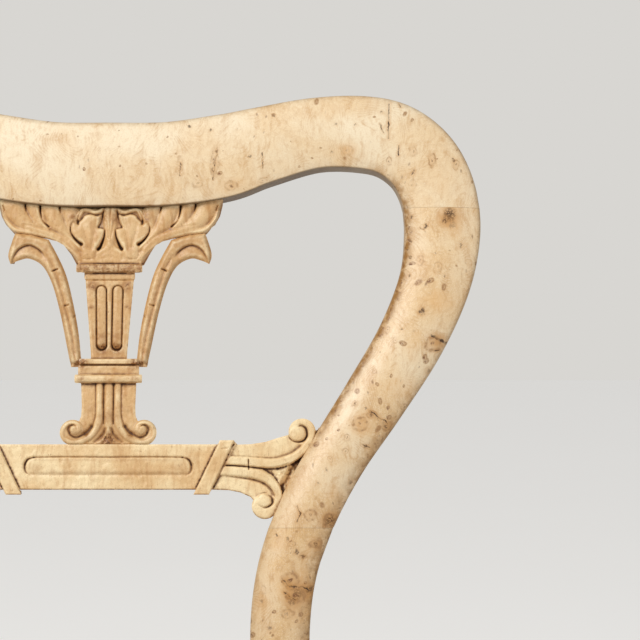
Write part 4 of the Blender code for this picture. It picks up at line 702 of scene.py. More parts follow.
ring_burl = burl_finish("ring_burl", 0.22)
ring_profile = np.vstack([
    [(RING_BORE, RING_LEDGE)],
    [(RING_BORE, RING_BOTTOM + RING_BORE_ARRIS), (RING_BORE + RING_BORE_ARRIS, RING_BOTTOM)],
    [(RING_RADIUS - RING_FOOT_ARRIS, RING_BOTTOM), (RING_RADIUS, RING_BOTTOM + RING_FOOT_ARRIS)],
    corner((RING_RADIUS, RING_BOTTOM + 1.6 * BEAD_RADIUS), BEAD_RADIUS, -78, 78, 12),
    [(RING_RADIUS, up) for up in np.linspace(RING_BOTTOM + RING_PLAIN_FROM, RING_TOP - RING_PLAIN_TO, 6)],
    corner((RING_RADIUS - RING_ROUND, RING_TOP - RING_ROUND), RING_ROUND, 0, 90),
    [(RING_OPENING + RING_INNER_ARRIS, RING_TOP), (RING_OPENING, RING_TOP - RING_INNER_ARRIS)],
    [(RING_OPENING, RING_LEDGE)],
])


def box_mesh(low, high):
    """A plain block, for cutting with."""
    mesh = bpy.data.meshes.new("block")
    block = bmesh.new()
    bmesh.ops.create_cube(block, size=1)
    for vert in block.verts:
        vert.co = [a + (part + 0.5) * (b - a) for a, b, part in zip(low, high, vert.co)]
    block.to_mesh(mesh)
    block.free()
    return mesh


def cut_away(piece, low, high):
    """Cut a block out of a piece."""
    cutter = bpy.data.objects.new("cutter", box_mesh(low, high))
    bpy.context.scene.collection.objects.link(cutter)
    cut = piece.modifiers.new("cut", "BOOLEAN")
    cut.object = cutter
    cut.solver = "EXACT"
    bpy.context.view_layer.update()
    result = bpy.data.meshes.new_from_object(piece.evaluated_get(bpy.context.evaluated_depsgraph_get()))
    piece.modifiers.remove(cut)
    bpy.data.objects.remove(cutter)
    piece.data = result
    piece.data.set_sharp_from_angle(angle=math.radians(CREASE))


for side, turn in SIDES.items():
    rail = turned(
        f"{side}_ring_rail", ring_profile, turn - 45 + JOINT_ANGLE, turn + 45 - JOINT_ANGLE, 48,
        body="seat_and_back", replaced=[f"{side}_seat_rail"], slot="burl_wood", finish=ring_burl,
    )
    half = BATTEN_WIDTH / 2 + HOUSING_ROOM
    reach = BATTEN_REACH + HOUSING_ROOM
    away = {
        "right": ((0, -half), (reach, half)),
        "left": ((-reach, -half), (0, half)),
        "back": ((-half, 0), (half, reach)),
        "front": ((-half, -reach), (half, 0)),
    }[side]
    cut_away(rail, (*away[0], RING_BOTTOM - 0.01), (*away[1], BATTEN_TOP + HOUSING_ROOM))

BEECH_PALE = shade(206, 166, 118)
BEECH_DARK = shade(176, 130, 84)
BEECH_FLECK = shade(146, 98, 60)
beech, inputs, place = new_finish("beech", Roughness=0.55)
grain = place.swayed(9, 0.02).stretched(14.0, 60.0, 200.0).noise(1.0, 4.0)
flecks = place.stretched(180.0, 900.0, 900.0).noise(1.0, 1.0)
beech_body = grain.between(0.35, 0.68).coloured(BEECH_PALE, BEECH_DARK)
plug(inputs["Base Color"], (flecks.between(0.60, 0.70) * 0.6).coloured(beech_body, BEECH_FLECK))
bumped(inputs, grain + flecks, 0.2 * MM, 0.4)
beech_nodes = ["side_batten", "front_back_batten", "slip_seat_frame"]
beech_nodes += [f"{side}_ring_tongue" for side in SIDES]
beech_nodes += [f"{side}_{joint}_dowel" for side in ("right", "left") for joint in ("crest", "stile")]
refinish(beech_nodes, beech)

# Webbing and base cloth
# Jute straps are tacked across the round beech frame, over and under each other.
# A hessian cloth is stretched on them to hold the stuffing.
STRAP_WIDTH = 48 * MM
STRAP_PITCH = 72 * MM
STRAP_THICKNESS = 0.75 * MM
WEBBING_RADIUS = 164.0 * MM
WEBBING_MIDDLE = 429.45 * MM
CLOTH_HEIGHT = 431.1 * MM
STRAP_STEPS = 120
STRAP_POINTS = 9
STRAP_LEAST = 4 * MM
STRAP_RISE = 0.42 * MM
CLOTH_RINGS = 34
CLOTH_STEPS = 120
CLOTH_WAVE = 0.25 * MM
JUTE_PALE = shade(192, 162, 112)
JUTE_DARK = shade(128, 98, 60)
HESSIAN_PALE = shade(204, 178, 132)
HESSIAN_DARK = shade(150, 118, 76)


def woven_finish(name, pale, dark, threads):
    """Plain weave: threads over and under in both ways."""
    material, inputs, place = new_finish(name, Roughness=0.85, Sheen_Weight=0.15)
    parts = place.swayed(40, 0.002)
    over = parts.node("SeparateXYZ", {}, {0: parts}, "X") * threads
    under = parts.node("SeparateXYZ", {}, {0: parts}, "Y") * threads
    weave = over.sine() * under.sine()
    slub = place.stretched(500.0, 60.0, 60.0).noise(1.0, 3.0)
    body = (weave * 0.4 + slub).between(0.2, 0.8)
    plug(inputs["Base Color"], body.coloured(dark, pale))
    bumped(inputs, weave + slub, 0.4 * MM, 0.7)
    return material


webbing_jute = woven_finish("webbing_jute", JUTE_PALE, JUTE_DARK, 1900.0)
hessian = woven_finish("hessian", HESSIAN_PALE, HESSIAN_DARK, 1300.0)
strap_points = []
strap_faces = []
for lengthwise in (True, False):
    for place_number in (-2, -1, 0, 1, 2):
        middle = place_number * STRAP_PITCH
        rings = []
        for along in np.linspace(-WEBBING_RADIUS, WEBBING_RADIUS, STRAP_STEPS):
            room = math.sqrt(WEBBING_RADIUS**2 - along**2)
            low = max(middle - STRAP_WIDTH / 2, -room)
            high = min(middle + STRAP_WIDTH / 2, room)
            if high - low > STRAP_LEAST:
                rings.append((along, low, high))
        first = len(strap_points)
        for along, low, high in rings:
            crossing = math.cos(math.pi * (along / STRAP_PITCH + place_number + (1 if lengthwise else 0)))
            for face in (1, -1):
                for share in np.linspace(0, 1, STRAP_POINTS)[::face]:
                    across = low + share * (high - low)
                    thinned = 1 - 0.5 * abs(2 * share - 1) ** 8
                    height = WEBBING_MIDDLE + crossing * STRAP_RISE + face * STRAP_THICKNESS / 2 * thinned
                    strap_points.append((along, across, height) if lengthwise else (across, along, height))
        count = 2 * STRAP_POINTS
        faces = [(a, d, c, b) for a, b, c, d in ring_faces(len(rings), count)]
        faces.append(tuple(reversed(range(count))))
        faces.append(tuple(range((len(rings) - 1) * count, len(rings) * count)))
        for face in faces:
            strap_faces.append(tuple(first + number for number in (face[::-1] if lengthwise else face)))
new_piece(
    "jute_straps", strap_points, strap_faces, body="seat_and_back", replaced=["seat_webbing"], slot="jute",
    finish=webbing_jute,
)

cloth_points = [(0, 0, CLOTH_HEIGHT)]
cloth_faces = []
for ring in range(1, CLOTH_RINGS + 1):
    reach = WEBBING_RADIUS * ring / CLOTH_RINGS
    for step in range(CLOTH_STEPS):
        angle = 2 * math.pi * step / CLOTH_STEPS
        x, y = reach * math.cos(angle), reach * math.sin(angle)
        wave = CLOTH_WAVE * math.sin(x * 90) * math.sin(y * 80)
        cloth_points.append((x, y, CLOTH_HEIGHT + wave))
for step in range(CLOTH_STEPS):
    after = (step + 1) % CLOTH_STEPS
    cloth_faces.append((0, 1 + step, 1 + after))
    for ring in range(CLOTH_RINGS - 1):
        here = 1 + ring * CLOTH_STEPS
        there = here + CLOTH_STEPS
        cloth_faces.append((here + step, there + step, there + after, here + after))
seat_hessian = new_piece(
    "seat_hessian", cloth_points, cloth_faces, body="seat_and_back", replaced=["base_cloth"], slot="jute",
    finish=hessian,
)

# Leather cushion
# Hair stuffing under brown leather, domed, pulled down over the frame's edge and tacked below.
# The stuffing blows the leather up until it is taut; the tacks pull shallow puckers into it round the side.
CUSHION_RADIUS = 186.5 * MM
CUSHION_BOTTOM = 412.6 * MM
CUSHION_SHOULDER = 432 * MM
CUSHION_STEPS = 160
PUCKERS = 44
PUCKER_DEPTH = 1.5 * MM
PUCKER_FOOT = 428 * MM
PUCKER_RISE = 7 * MM
PUCKER_TOP = 462 * MM
PUCKER_FALL = 22 * MM
UNDER_OPENING = 130 * MM
UNDER_STEP = 2 * MM
UNDER_RADIUS = 183.5 * MM
STUFFING_PRESSURE = 4.0
STUFFING_FRAMES = 20
STUFFING_REACH = 9 * MM
LEATHER_TAN = shade(128, 78, 46)
LEATHER_DEEP = shade(78, 44, 28)
LEATHER_WORN = shade(168, 114, 72)

leather, inputs, place = new_finish("leather", Coat_Weight=0.15, Coat_Roughness=0.35)
cells = place.swayed(200, 0.002).cells(620.0, "DISTANCE_TO_EDGE")
creases = place.swayed(30, 0.02).cells(70.0, "DISTANCE_TO_EDGE")
rubbed = place.noise(11, 4.0)
hide = rubbed.between(0.32, 0.70).coloured(LEATHER_DEEP, LEATHER_TAN)
hide = (rubbed.between(0.62, 0.80) * 0.5).coloured(hide, LEATHER_WORN)
plug(inputs["Base Color"], ((1.0 - cells.between(0.0, 0.10)) * 0.45).coloured(hide, LEATHER_DEEP))
plug(inputs["Roughness"], rubbed * 0.25 + 0.34)
bumped(inputs, cells.between(0.0, 0.18) + creases.between(0.0, 0.03) * 0.6, 0.35 * MM, 0.7)

under_profile = [
    (POLE, CUSHION_SHOULDER),
    (UNDER_OPENING, CUSHION_SHOULDER),
    (UNDER_OPENING + UNDER_STEP, CUSHION_SHOULDER - UNDER_STEP),
    (UNDER_RADIUS, CUSHION_SHOULDER - UNDER_STEP),
    (UNDER_RADIUS, CUSHION_BOTTOM),
    (CUSHION_RADIUS, CUSHION_BOTTOM),
]
leather_profile = line_through(np.array([
    (186.5, 413.0), (186.5, 428.0), (188.6, 437.0), (186.5, 443.0), (179.0, 450.0), (160.0, 458.4),
    (130.0, 465.2), (91.0, 470.0), (48.0, 472.4), (0.5, 473.0),
]) * MM, 5)


def stuffed(points):
    """The leather of the cushion, tacked along its foot, puckered there and blown up by the stuffing."""
    angles = np.arctan2(points[..., 1], points[..., 0])
    wander = 0.9 * np.sin(3 * angles + 1) + 0.7 * np.sin(7 * angles + 2) + 0.5 * np.sin(13 * angles)
    pulled = np.clip((points[..., 2] - PUCKER_FOOT) / PUCKER_RISE, 0, 1)
    pulled = pulled * np.clip((PUCKER_TOP - points[..., 2]) / PUCKER_FALL, 0, 1)
    fold = (0.5 + 0.5 * np.cos(PUCKERS * angles + wander)) ** 2 * pulled * PUCKER_DEPTH
    reach = np.hypot(points[..., 0], points[..., 1])
    points = points.copy()
    points[..., :2] *= (1 - fold / np.maximum(reach, 0.05))[..., None]
    rings, count = points.shape[:2]
    faces = []
    for ring in range(rings):
        here, there = ring * count, (ring + 1) % rings * count
        faces += [(here + n, there + n, there + n + 1, here + n + 1) for n in range(count - 1)]
    mesh = bpy.data.meshes.new("loose_leather")
    mesh.from_pydata([tuple(point) for point in points.reshape(-1, 3)], [], faces)
    loose = bpy.data.objects.new("loose_leather", mesh)
    bpy.context.scene.collection.objects.link(loose)
    tacked = loose.vertex_groups.new(name="tacked")
    foot = np.flatnonzero((points[..., 2] < CUSHION_SHOULDER).ravel())
    tacked.add([int(number) for number in foot], 1.0, "REPLACE")
    blown = loose.modifiers.new("blown", "CLOTH")
    blown.settings.vertex_group_mass = "tacked"
    blown.settings.use_pressure = True
    blown.settings.uniform_pressure_force = STUFFING_PRESSURE
    blown.settings.effector_weights.gravity = 0
    for number in range(1, STUFFING_FRAMES + 1):
        bpy.context.scene.frame_set(number)
    risen = loose.evaluated_get(bpy.context.evaluated_depsgraph_get()).data
    places = np.empty(len(mesh.vertices) * 3)
    risen.vertices.foreach_get("co", places)
    bpy.data.objects.remove(loose)
    bpy.context.scene.frame_set(1)
    move = places.reshape(points.shape) - points
    length = np.linalg.norm(move, axis=-1, keepdims=True)
    return points + move * np.minimum(1, STUFFING_REACH / np.maximum(length, 1e-9))


def upholstered(points):
    """The points of the cushion, its underside left flat and its leather stuffed."""
    points = points.copy()
    points[:, len(under_profile):] = stuffed(points[:, len(under_profile):])
    return points


cushion = turned(
    "leather_cushion", np.vstack([under_profile, leather_profile]), body="seat_and_back",
    replaced=["leather_cover", "seat_pad"], slot="leather", finish=leather, steps=CUSHION_STEPS,
    shaped=upholstered,
)

# Balloon frame of the back
# Crest and stiles are cut from thick pale burl and bent in one sweep, crowned on the face and worn soft.
# Level joints at the shoulders and below the cross rail hold blind dowels; the stiles stand on the seat ring.
BACK_RAKE = math.radians(11)
BACK_FOOT = 160.85 * MM
FRAME_THICKNESS = 28 * MM
OUTER_ROUND = 4.6 * MM
REAR_ROUND = 3.5 * MM
SHOULDER_JOINT = 381.8 * MM
STILE_JOINT = 169.8 * MM
JOINT_GAP = 0.06 * MM
FRAME_CREASE = 50
END_MARGIN = 3 * MM
SIDE_FROM = 60 * MM
CREST_FROM = 425 * MM
WORN_FACE = 7 * MM
WORN_FADE = 9 * MM
HANDS_FROM = 200 * MM
HANDS_OVER = 40 * MM
INNER_WEAR = 3.0 * MM
LOW_FROM = 290 * MM
LOW_OVER = 50 * MM
UNDERSIDE_SHADE_REACH = 0.8 * MM
PHOTO_MIDDLE = 108
PHOTO_TOP = 95
PHOTO_POINT = 0.66
BACK_TOP = 455
UP = np.array((0, 1, 0))
FLOOR_UP = np.array((0, math.cos(BACK_RAKE), math.sin(BACK_RAKE)))
COURSE_STEPS = 10
FRAME_COURSE = np.array([
    # across, up, width, round of the inner edge, crown of the face
    (0.0, 411.5, 56.6, 1.6, 3.0),
    (38.0, 411.9, 56.6, 1.6, 3.0),
    (74.0, 416.9, 56.6, 1.6, 3.2),
    (100.0, 424.1, 52.2, 1.7, 3.6),
    (136.0, 432.5, 48.2, 1.9, 4.0),
    (168.1, 433.2, 49.5, 2.2, 4.4),
    (190.9, 427.7, 50.4, 2.8, 4.8),
    (209.0, 412.7, 50.4, 3.8, 5.2),
    (219.3, 390.4, 50.4, 4.8, 5.8),
    (221.5, 364.5, 50.4, 5.4, 6.4),
    (216.1, 332.2, 47.6, 5.8, 6.8),
    (199.9, 293.9, 44.8, 6.0, 7.0),
    (175.4, 253.9, 42.2, 6.0, 7.0),
    (151.2, 216.6, 39.6, 6.0, 7.0),
    (131.3, 179.3, 39.6, 6.0, 7.0),
    (118.6, 142.9, 39.3, 6.0, 7.0),
    (113.7, 102.8, 39.0, 6.0, 7.0),
    (115.9, 56.9, 37.75, 6.0, 7.0),
    (122.0, 0.0, 36.5, 6.0, 7.0),
]) * MM


def in_back(across, up, ahead):
    """A place in the raked back: across and up its face, and ahead of it."""
    return Vector((
        across,
        BACK_FOOT + up * math.sin(BACK_RAKE) - ahead * math.cos(BACK_RAKE),
        RING_TOP + up * math.cos(BACK_RAKE) + ahead * math.sin(BACK_RAKE),
    ))


def photo_place(x, y):
    """A place on the face of the frame, from where it shows in the photo, without its depth."""
    across = (x - PHOTO_MIDDLE) * PHOTO_POINT * MM
    up = (BACK_TOP - (y - PHOTO_TOP) * PHOTO_POINT) * MM
    return in_back(across, up, 0) * Vector(SEEN_FLAT)


def frame_section(width, inner_round, crown):
    """The frame's section, from the inner edge over the crowned face and outer edge to the flat rear."""
    half = width / 2

    def face(offset):
        return -crown * (offset / half) ** 2

    ends = []
    for edge_round in (inner_round, OUTER_ROUND):
        end = half - edge_round
        for _ in range(4):
            lean = math.atan(2 * crown * end / half**2)
            end = half - edge_round * (1 - math.sin(lean))
        ends.append((end, lean))
    (inner_end, inner_lean), (outer_end, outer_lean) = ends
    offsets = np.linspace(-inner_end, outer_end, 19)
    section = [(offset, face(offset)) for offset in offsets]
    angles = np.linspace(math.pi / 2 - outer_lean, 0, 7)[1:]
    centre = (half - OUTER_ROUND, face(outer_end) - OUTER_ROUND * math.cos(outer_lean))
    section += [
        (centre[0] + OUTER_ROUND * math.cos(a), centre[1] + OUTER_ROUND * math.sin(a)) for a in angles
    ]
    middle = half - REAR_ROUND
    rear = -FRAME_THICKNESS + REAR_ROUND
    for way in (1, -1):
        section += [
            (way * (middle + REAR_ROUND * math.cos(a)), rear - REAR_ROUND * math.sin(a))
            for a in np.linspace(0, math.pi / 2, 5)[::way]
        ]
    angles = np.linspace(0, math.pi / 2 - inner_lean, 7)[:-1]
    centre = (-half + inner_round, face(inner_end) - inner_round * math.cos(inner_lean))
    section += [
        (centre[0] - inner_round * math.cos(a), centre[1] + inner_round * math.sin(a)) for a in angles
    ]
    return np.array(section)


whole_course = np.vstack([(FRAME_COURSE * (-1, 1, 1, 1, 1))[:0:-1], FRAME_COURSE])
frame_line = line_through(whole_course, COURSE_STEPS)
frame_along = np.gradient(frame_line[:, :2], axis=0)
frame_along /= np.linalg.norm(frame_along, axis=1)[:, None]


def frame_ring(station, level=None, facing=UP):
    """The section at a station of the frame; slid along the wood to a plane if a level is given."""
    centre, along = frame_line[station, :2], frame_along[station]
    section = frame_section(*frame_line[station, 2:])
    ring = np.column_stack([
        centre[0] - along[1] * section[:, 0], centre[1] + along[0] * section[:, 0], section[:, 1],
    ])
    if level is not None:
        way = np.array((along[0], along[1], 0))
        ring = ring + ((level - ring @ facing) / (way @ facing))[:, None] * way
    return ring


def wear(station):
    """How much each point of the section at a station is rubbed brown, and how much painted shade it takes.

    Hands wear the edges of the stiles most; painted shade darkens the underside of the crest.
    """
    width, inner_round, crown = frame_line[station, 2:]
    offsets, depths = frame_section(width, inner_round, crown).T
    near_face = np.clip(1 + (depths + WORN_FACE) / WORN_FADE, 0.2, 1)
    handled = np.clip((inner_round / MM - 1.4) / 4, 0.08, 1)
    reached = np.clip((frame_line[station, 1] - HANDS_FROM) / HANDS_OVER, 0.15, 1)
    inner = np.clip(2.0 - (offsets + width / 2) / INNER_WEAR, 0, 1) * handled * reached * near_face
    low_down = np.clip((LOW_FROM - frame_line[station, 1]) / LOW_OVER, 0, 1)
    outer = np.clip(1 - (width / 2 - offsets) / ((4 + 5 * low_down) * MM), 0, 1) * (0.4 + 0.45 * low_down)
    # Painted shade along the inner side face, only where the inner edge is sharp, as under the crest.
    shaded_underneath = np.clip(1 - (offsets + width / 2) / UNDERSIDE_SHADE_REACH, 0, 1) * (1 - handled)
    return np.column_stack([inner + outer, shaded_underneath])


def station_at(height, way):
    """The station where the frame's middle line passes a height, on the right (1) or the left (-1)."""
    stations = [n for n in range(len(frame_line)) if frame_line[n, 0] * way > SIDE_FROM]
    stations = [n for n in stations if frame_line[n, 1] < CREST_FROM]
    return min(stations, key=lambda n: abs(frame_line[n, 1] - height))


def joint_end(height, way, gap):
    """The end of a piece of the frame at a level joint: its station, its level and what it faces."""
    return station_at(height, way), height + gap, UP


def clear_of(station, end):
    """Whether a station lies clear of a level end."""
    along = frame_along[end]
    margin = abs(along[0] / along[1]) * frame_line[end, 2] / 2 + END_MARGIN
    higher = abs(frame_line[station, 1] - frame_line[end, 1])
    return higher > margin or abs(station - end) > 4 * COURSE_STEPS


def frame_piece(name, first, last, replaced, finish):
    """A length of the frame between two ends, each a station, a level and what the end faces."""
    stations = [
        station for station in range(first[0] + 1, last[0])
        if clear_of(station, first[0]) and clear_of(station, last[0])
    ]
    rings = [frame_ring(*first), *(frame_ring(station) for station in stations), frame_ring(*last)]
    worn = np.vstack([wear(station) for station in (first[0], *stations, last[0])])
    count = len(rings[0])
    points = [in_back(*point) for ring in rings for point in ring]
    faces = [(a, d, c, b) for a, b, c, d in ring_faces(len(rings), count)]
    faces.append(tuple(reversed(range(count))))
    faces.append(tuple(range(len(points) - count, len(points))))
    piece = new_piece(
        name, points, faces, body="seat_and_back", replaced=[replaced], slot="burl_wood", finish=finish,
        crease=FRAME_CREASE,
    )
    mark(piece, "rim", worn[:, 0])
    mark(piece, "underside_shade", worn[:, 1])


CREST_PATCHES = (
    # seen in the photo at x, y; half width and half height in photo points; strength
    (347, 148, 14, 9, 0.35), (230, 186, 16, 8, 0.25), (160, 190, 40, 9, 0.15), (440, 180, 14, 16, 0.2),
    (330, 108, 30, 8, 0.12),
)
CREST_KNOTS = (
    # seen at x, y; size in photo points; strength
    (414, 171, 2.5, 0.5), (455, 158, 2.2, 0.8), (216, 149, 1.8, 0.6), (213, 158, 1.8, 0.7),
    (212, 168, 1.8, 0.7), (179, 168, 2.2, 0.7), (250, 154, 2.2, 0.8), (231, 184, 2.0, 0.5),
    (236, 126, 1.8, 0.6), (188, 124, 1.8, 0.8), (210, 128, 1.8, 0.8), (273, 113, 2.2, 0.7),
    (356, 122, 2.0, 0.7), (382, 109, 2.2, 0.7), (336, 121, 1.8, 0.6), (332, 150, 2.0, 0.5),
)
CREST_RINGS = (
    # seen at x, y; half width and half height in photo points; strength
    (433, 159, 3.2, 7.0, 0.8), (414, 149, 4.0, 5.5, 0.45), (390, 159, 3.0, 4.0, 0.55),
    (413, 184, 4.0, 6.5, 0.3), (457, 163, 3.4, 4.6, 0.5), (262, 178, 4.0, 3.0, 0.4),
    (347, 148, 6.0, 5.0, 0.25), (214, 160, 4.0, 15.0, 0.45), (230, 184, 7.0, 5.0, 0.5),
    (197, 182, 6.0, 4.0, 0.35), (178, 164, 3.0, 9.0, 0.3),
)
CREST_CRACKS = (
    # from x, y to x, y; half width in photo points
    (390.0, 101, 389.3, 120, 0.75), (389.3, 120, 389.0, 136, 0.65), (380.4, 121, 384, 130, 0.45),
    (399.8, 143, 399.2, 153, 0.6), (415, 168, 412.6, 173, 0.6), (262, 150, 262.5, 166, 0.35),
    (217, 145, 212, 178, 0.3), (179.5, 160, 179, 174, 0.3), (400, 101, 402, 104, 0.5),
)
STILE_PATCHES = (
    (440, 301, 17, 13, 0.6), (412, 342, 9, 18, 0.35), (398, 388, 16, 18, 0.4), (453, 229, 10, 9, 0.4),
    (364, 426, 16, 13, 0.5), (338, 500, 14, 18, 0.45), (372, 462, 9, 16, 0.45), (436, 346, 10, 9, 0.5),
    (430, 262, 16, 14, 0.2),
)
STILE_KNOTS = (
    (450, 214, 7.5, 1.0), (446, 220, 4.0, 0.9), (453, 224, 8.0, 0.35), (426, 226, 2.6, 1.0),
    (462, 245, 3.4, 0.6), (412, 216, 2.2, 0.8), (411, 240, 3.0, 0.6), (422, 311, 3.6, 0.9),
    (429, 372, 3.4, 0.5), (371, 414, 3.6, 0.8), (355, 404, 3.0, 0.5), (366, 447, 2.6, 0.9),
    (350, 483, 3.0, 0.6), (330, 521, 7.0, 1.0), (386, 428, 3.4, 0.7), (410, 258, 2.6, 0.7),
    (410, 276, 2.4, 0.7), (402, 330, 2.2, 0.6), (366, 408, 2.2, 0.7), (378, 420, 2.4, 0.8),
    (318, 483, 2.2, 0.6), (326, 470, 2.4, 0.5),
)
STILE_RINGS = (
    (433, 345, 8.5, 7.0, 0.85), (360, 424, 7.5, 6.5, 0.8), (347, 438, 3.4, 3.4, 0.6),
    (310, 514, 6.0, 5.5, 0.8), (330, 521, 7.0, 7.0, 0.7), (372, 415, 5.0, 3.6, 0.6),
    (387, 426, 6.0, 5.0, 0.6), (438, 267, 4.5, 5.0, 0.35), (420, 260, 4.0, 5.0, 0.45),
    (387, 331, 2.6, 3.4, 0.5), (374, 372, 2.6, 2.6, 0.5), (354, 404, 3.2, 3.0, 0.5),
    (345, 452, 3.0, 3.4, 0.45), (330, 459, 2.6, 3.0, 0.5), (394, 340, 2.4, 3.0, 0.4),
)
STILE_CRACKS = (
    (432, 336.0, 440, 340.5, 1.2), (440, 340.5, 447, 345.0, 1.5), (297.5, 506, 300.5, 513, 0.7),
    (300.5, 513, 297, 521, 0.5), (370, 411, 388, 424, 0.5), (420, 227, 424, 229, 0.4),
    (362, 445, 369, 448, 0.6), (430, 352, 440, 351, 0.4),
)
LOWER_PATCHES = (
    (296, 590, 22, 16, 0.6), (312, 545, 9, 14, 0.5), (280, 545, 12, 8, 0.3), (300, 615, 18, 10, 0.45),
    (262, 605, 8, 16, 0.3), (308, 585, 9, 34, 0.5),
)
LOWER_KNOTS = (
    (298, 593, 9.0, 0.7), (290, 580, 5.0, 0.5), (310, 590, 5.0, 0.9), (316, 544, 4.5, 0.6),
    (297, 551, 3.0, 0.8), (303, 556, 2.6, 0.9), (277, 535, 2.2, 0.7), (262, 600, 4.0, 0.4),
    (270, 626, 3.5, 0.6), (288, 538, 2.2, 0.7), (292, 600, 6.0, 0.6),
)
LOWER_RINGS = (
    (291, 579, 8.0, 8.0, 0.8), (296, 594, 10.0, 7.0, 0.7), (293, 543, 4.0, 3.4, 0.6),
    (264, 589, 3.0, 4.0, 0.4), (316, 544, 6.0, 4.5, 0.7), (303, 556, 4.0, 3.0, 0.6),
    (288, 612, 7.0, 4.0, 0.5),
)
LOWER_CRACKS = (
    (282, 577, 290, 585, 0.6), (290, 585, 303, 586, 0.8), (303, 586, 311, 591, 0.8),
    (284, 590, 296, 599, 0.4),
)


def in_photo(patches, knots, rings, cracks):
    """Warm patches, knots, rings and cracks that the photo shows on the frame, set on its face."""
    point = PHOTO_POINT * MM
    set_knots = [(photo_place(x, y), size * point, strength) for x, y, size, strength in knots]
    set_patches, set_rings = [
        [(photo_place(x, y), wide * point, high * point, strength) for x, y, wide, high, strength in ovals]
        for ovals in (patches, rings)
    ]
    set_cracks = [
        (photo_place(x, y), photo_place(to_x, to_y), half * point) for x, y, to_x, to_y, half in cracks
    ]
    return set_patches, set_knots, set_rings, set_cracks


crest_marks = in_photo(CREST_PATCHES, CREST_KNOTS, CREST_RINGS, CREST_CRACKS)
stile_marks = in_photo(STILE_PATCHES, STILE_KNOTS, STILE_RINGS, STILE_CRACKS)
lower_marks = in_photo(LOWER_PATCHES, LOWER_KNOTS, LOWER_RINGS, LOWER_CRACKS)
crest_burl = burl_finish("crest_burl", 0.0, *crest_marks)
stile_burl = burl_finish("stile_burl", 0.22, *stile_marks)
lower_burl = burl_finish("lower_burl", 0.45, *lower_marks)
crest_ends, stile_tops, stile_bottoms, foot_tops = (
    {way: joint_end(height, way, gap) for way in (1, -1)}
    for height, gap in (
        (SHOULDER_JOINT, JOINT_GAP), (SHOULDER_JOINT, -JOINT_GAP),
        (STILE_JOINT, JOINT_GAP), (STILE_JOINT, -JOINT_GAP),
    )
)
feet = {1: (len(frame_line) - 1, JOINT_GAP, FLOOR_UP), -1: (0, JOINT_GAP, FLOOR_UP)}
frame_piece("bent_crest", crest_ends[-1], crest_ends[1], "crest_rail", crest_burl)
frame_piece("right_bent_stile", stile_tops[1], stile_bottoms[1], "right_upper_stile", stile_burl)
frame_piece("left_bent_stile", stile_bottoms[-1], stile_tops[-1], "left_upper_stile", stile_burl)
frame_piece("right_stile_foot", foot_tops[1], feet[1], "right_lower_stile", lower_burl)
frame_piece("left_stile_foot", feet[-1], foot_tops[-1], "left_lower_stile", lower_burl)

# Carved splat
# One board: a palmette under the crest, a capital, a fluted stem, foot mouldings and a base with two scrolls.
# It is carved from the front and glued between crest and cross rail; glaze and painted shade darken the
# hollows.
CARVING_FRONT = -9 * MM
CARVING_BACK = -23 * MM
CARVING_GRID = 0.4 * MM
CARVING_UNDERCUT = 3.4 * MM
FAR_BELOW = -50 * MM
CARVED_PALE_AND_HIGHLIGHT = shade(251, 226, 178)
CARVED_TAN = shade(230, 191, 136)
CARVED_GOLD = shade(188, 134, 74)
CARVED_GLAZE_AND_SHADE = shade(142, 94, 48)
CARVED_DIRT_AND_SHADE = shade(80, 48, 28)
CARVED_STAIN_AND_SHADE = shade(160, 108, 58)
LIFT_FROM = 234
LIFT_OVER = 150
LIFT_LIMIT = 1.1
LIFT_NARROWS = 0.012
LIFT_RAISES = 1.5
LIFT_START = 0.3
BROAD_TOOLING = 0.5
FINE_TOOLING = 0.07


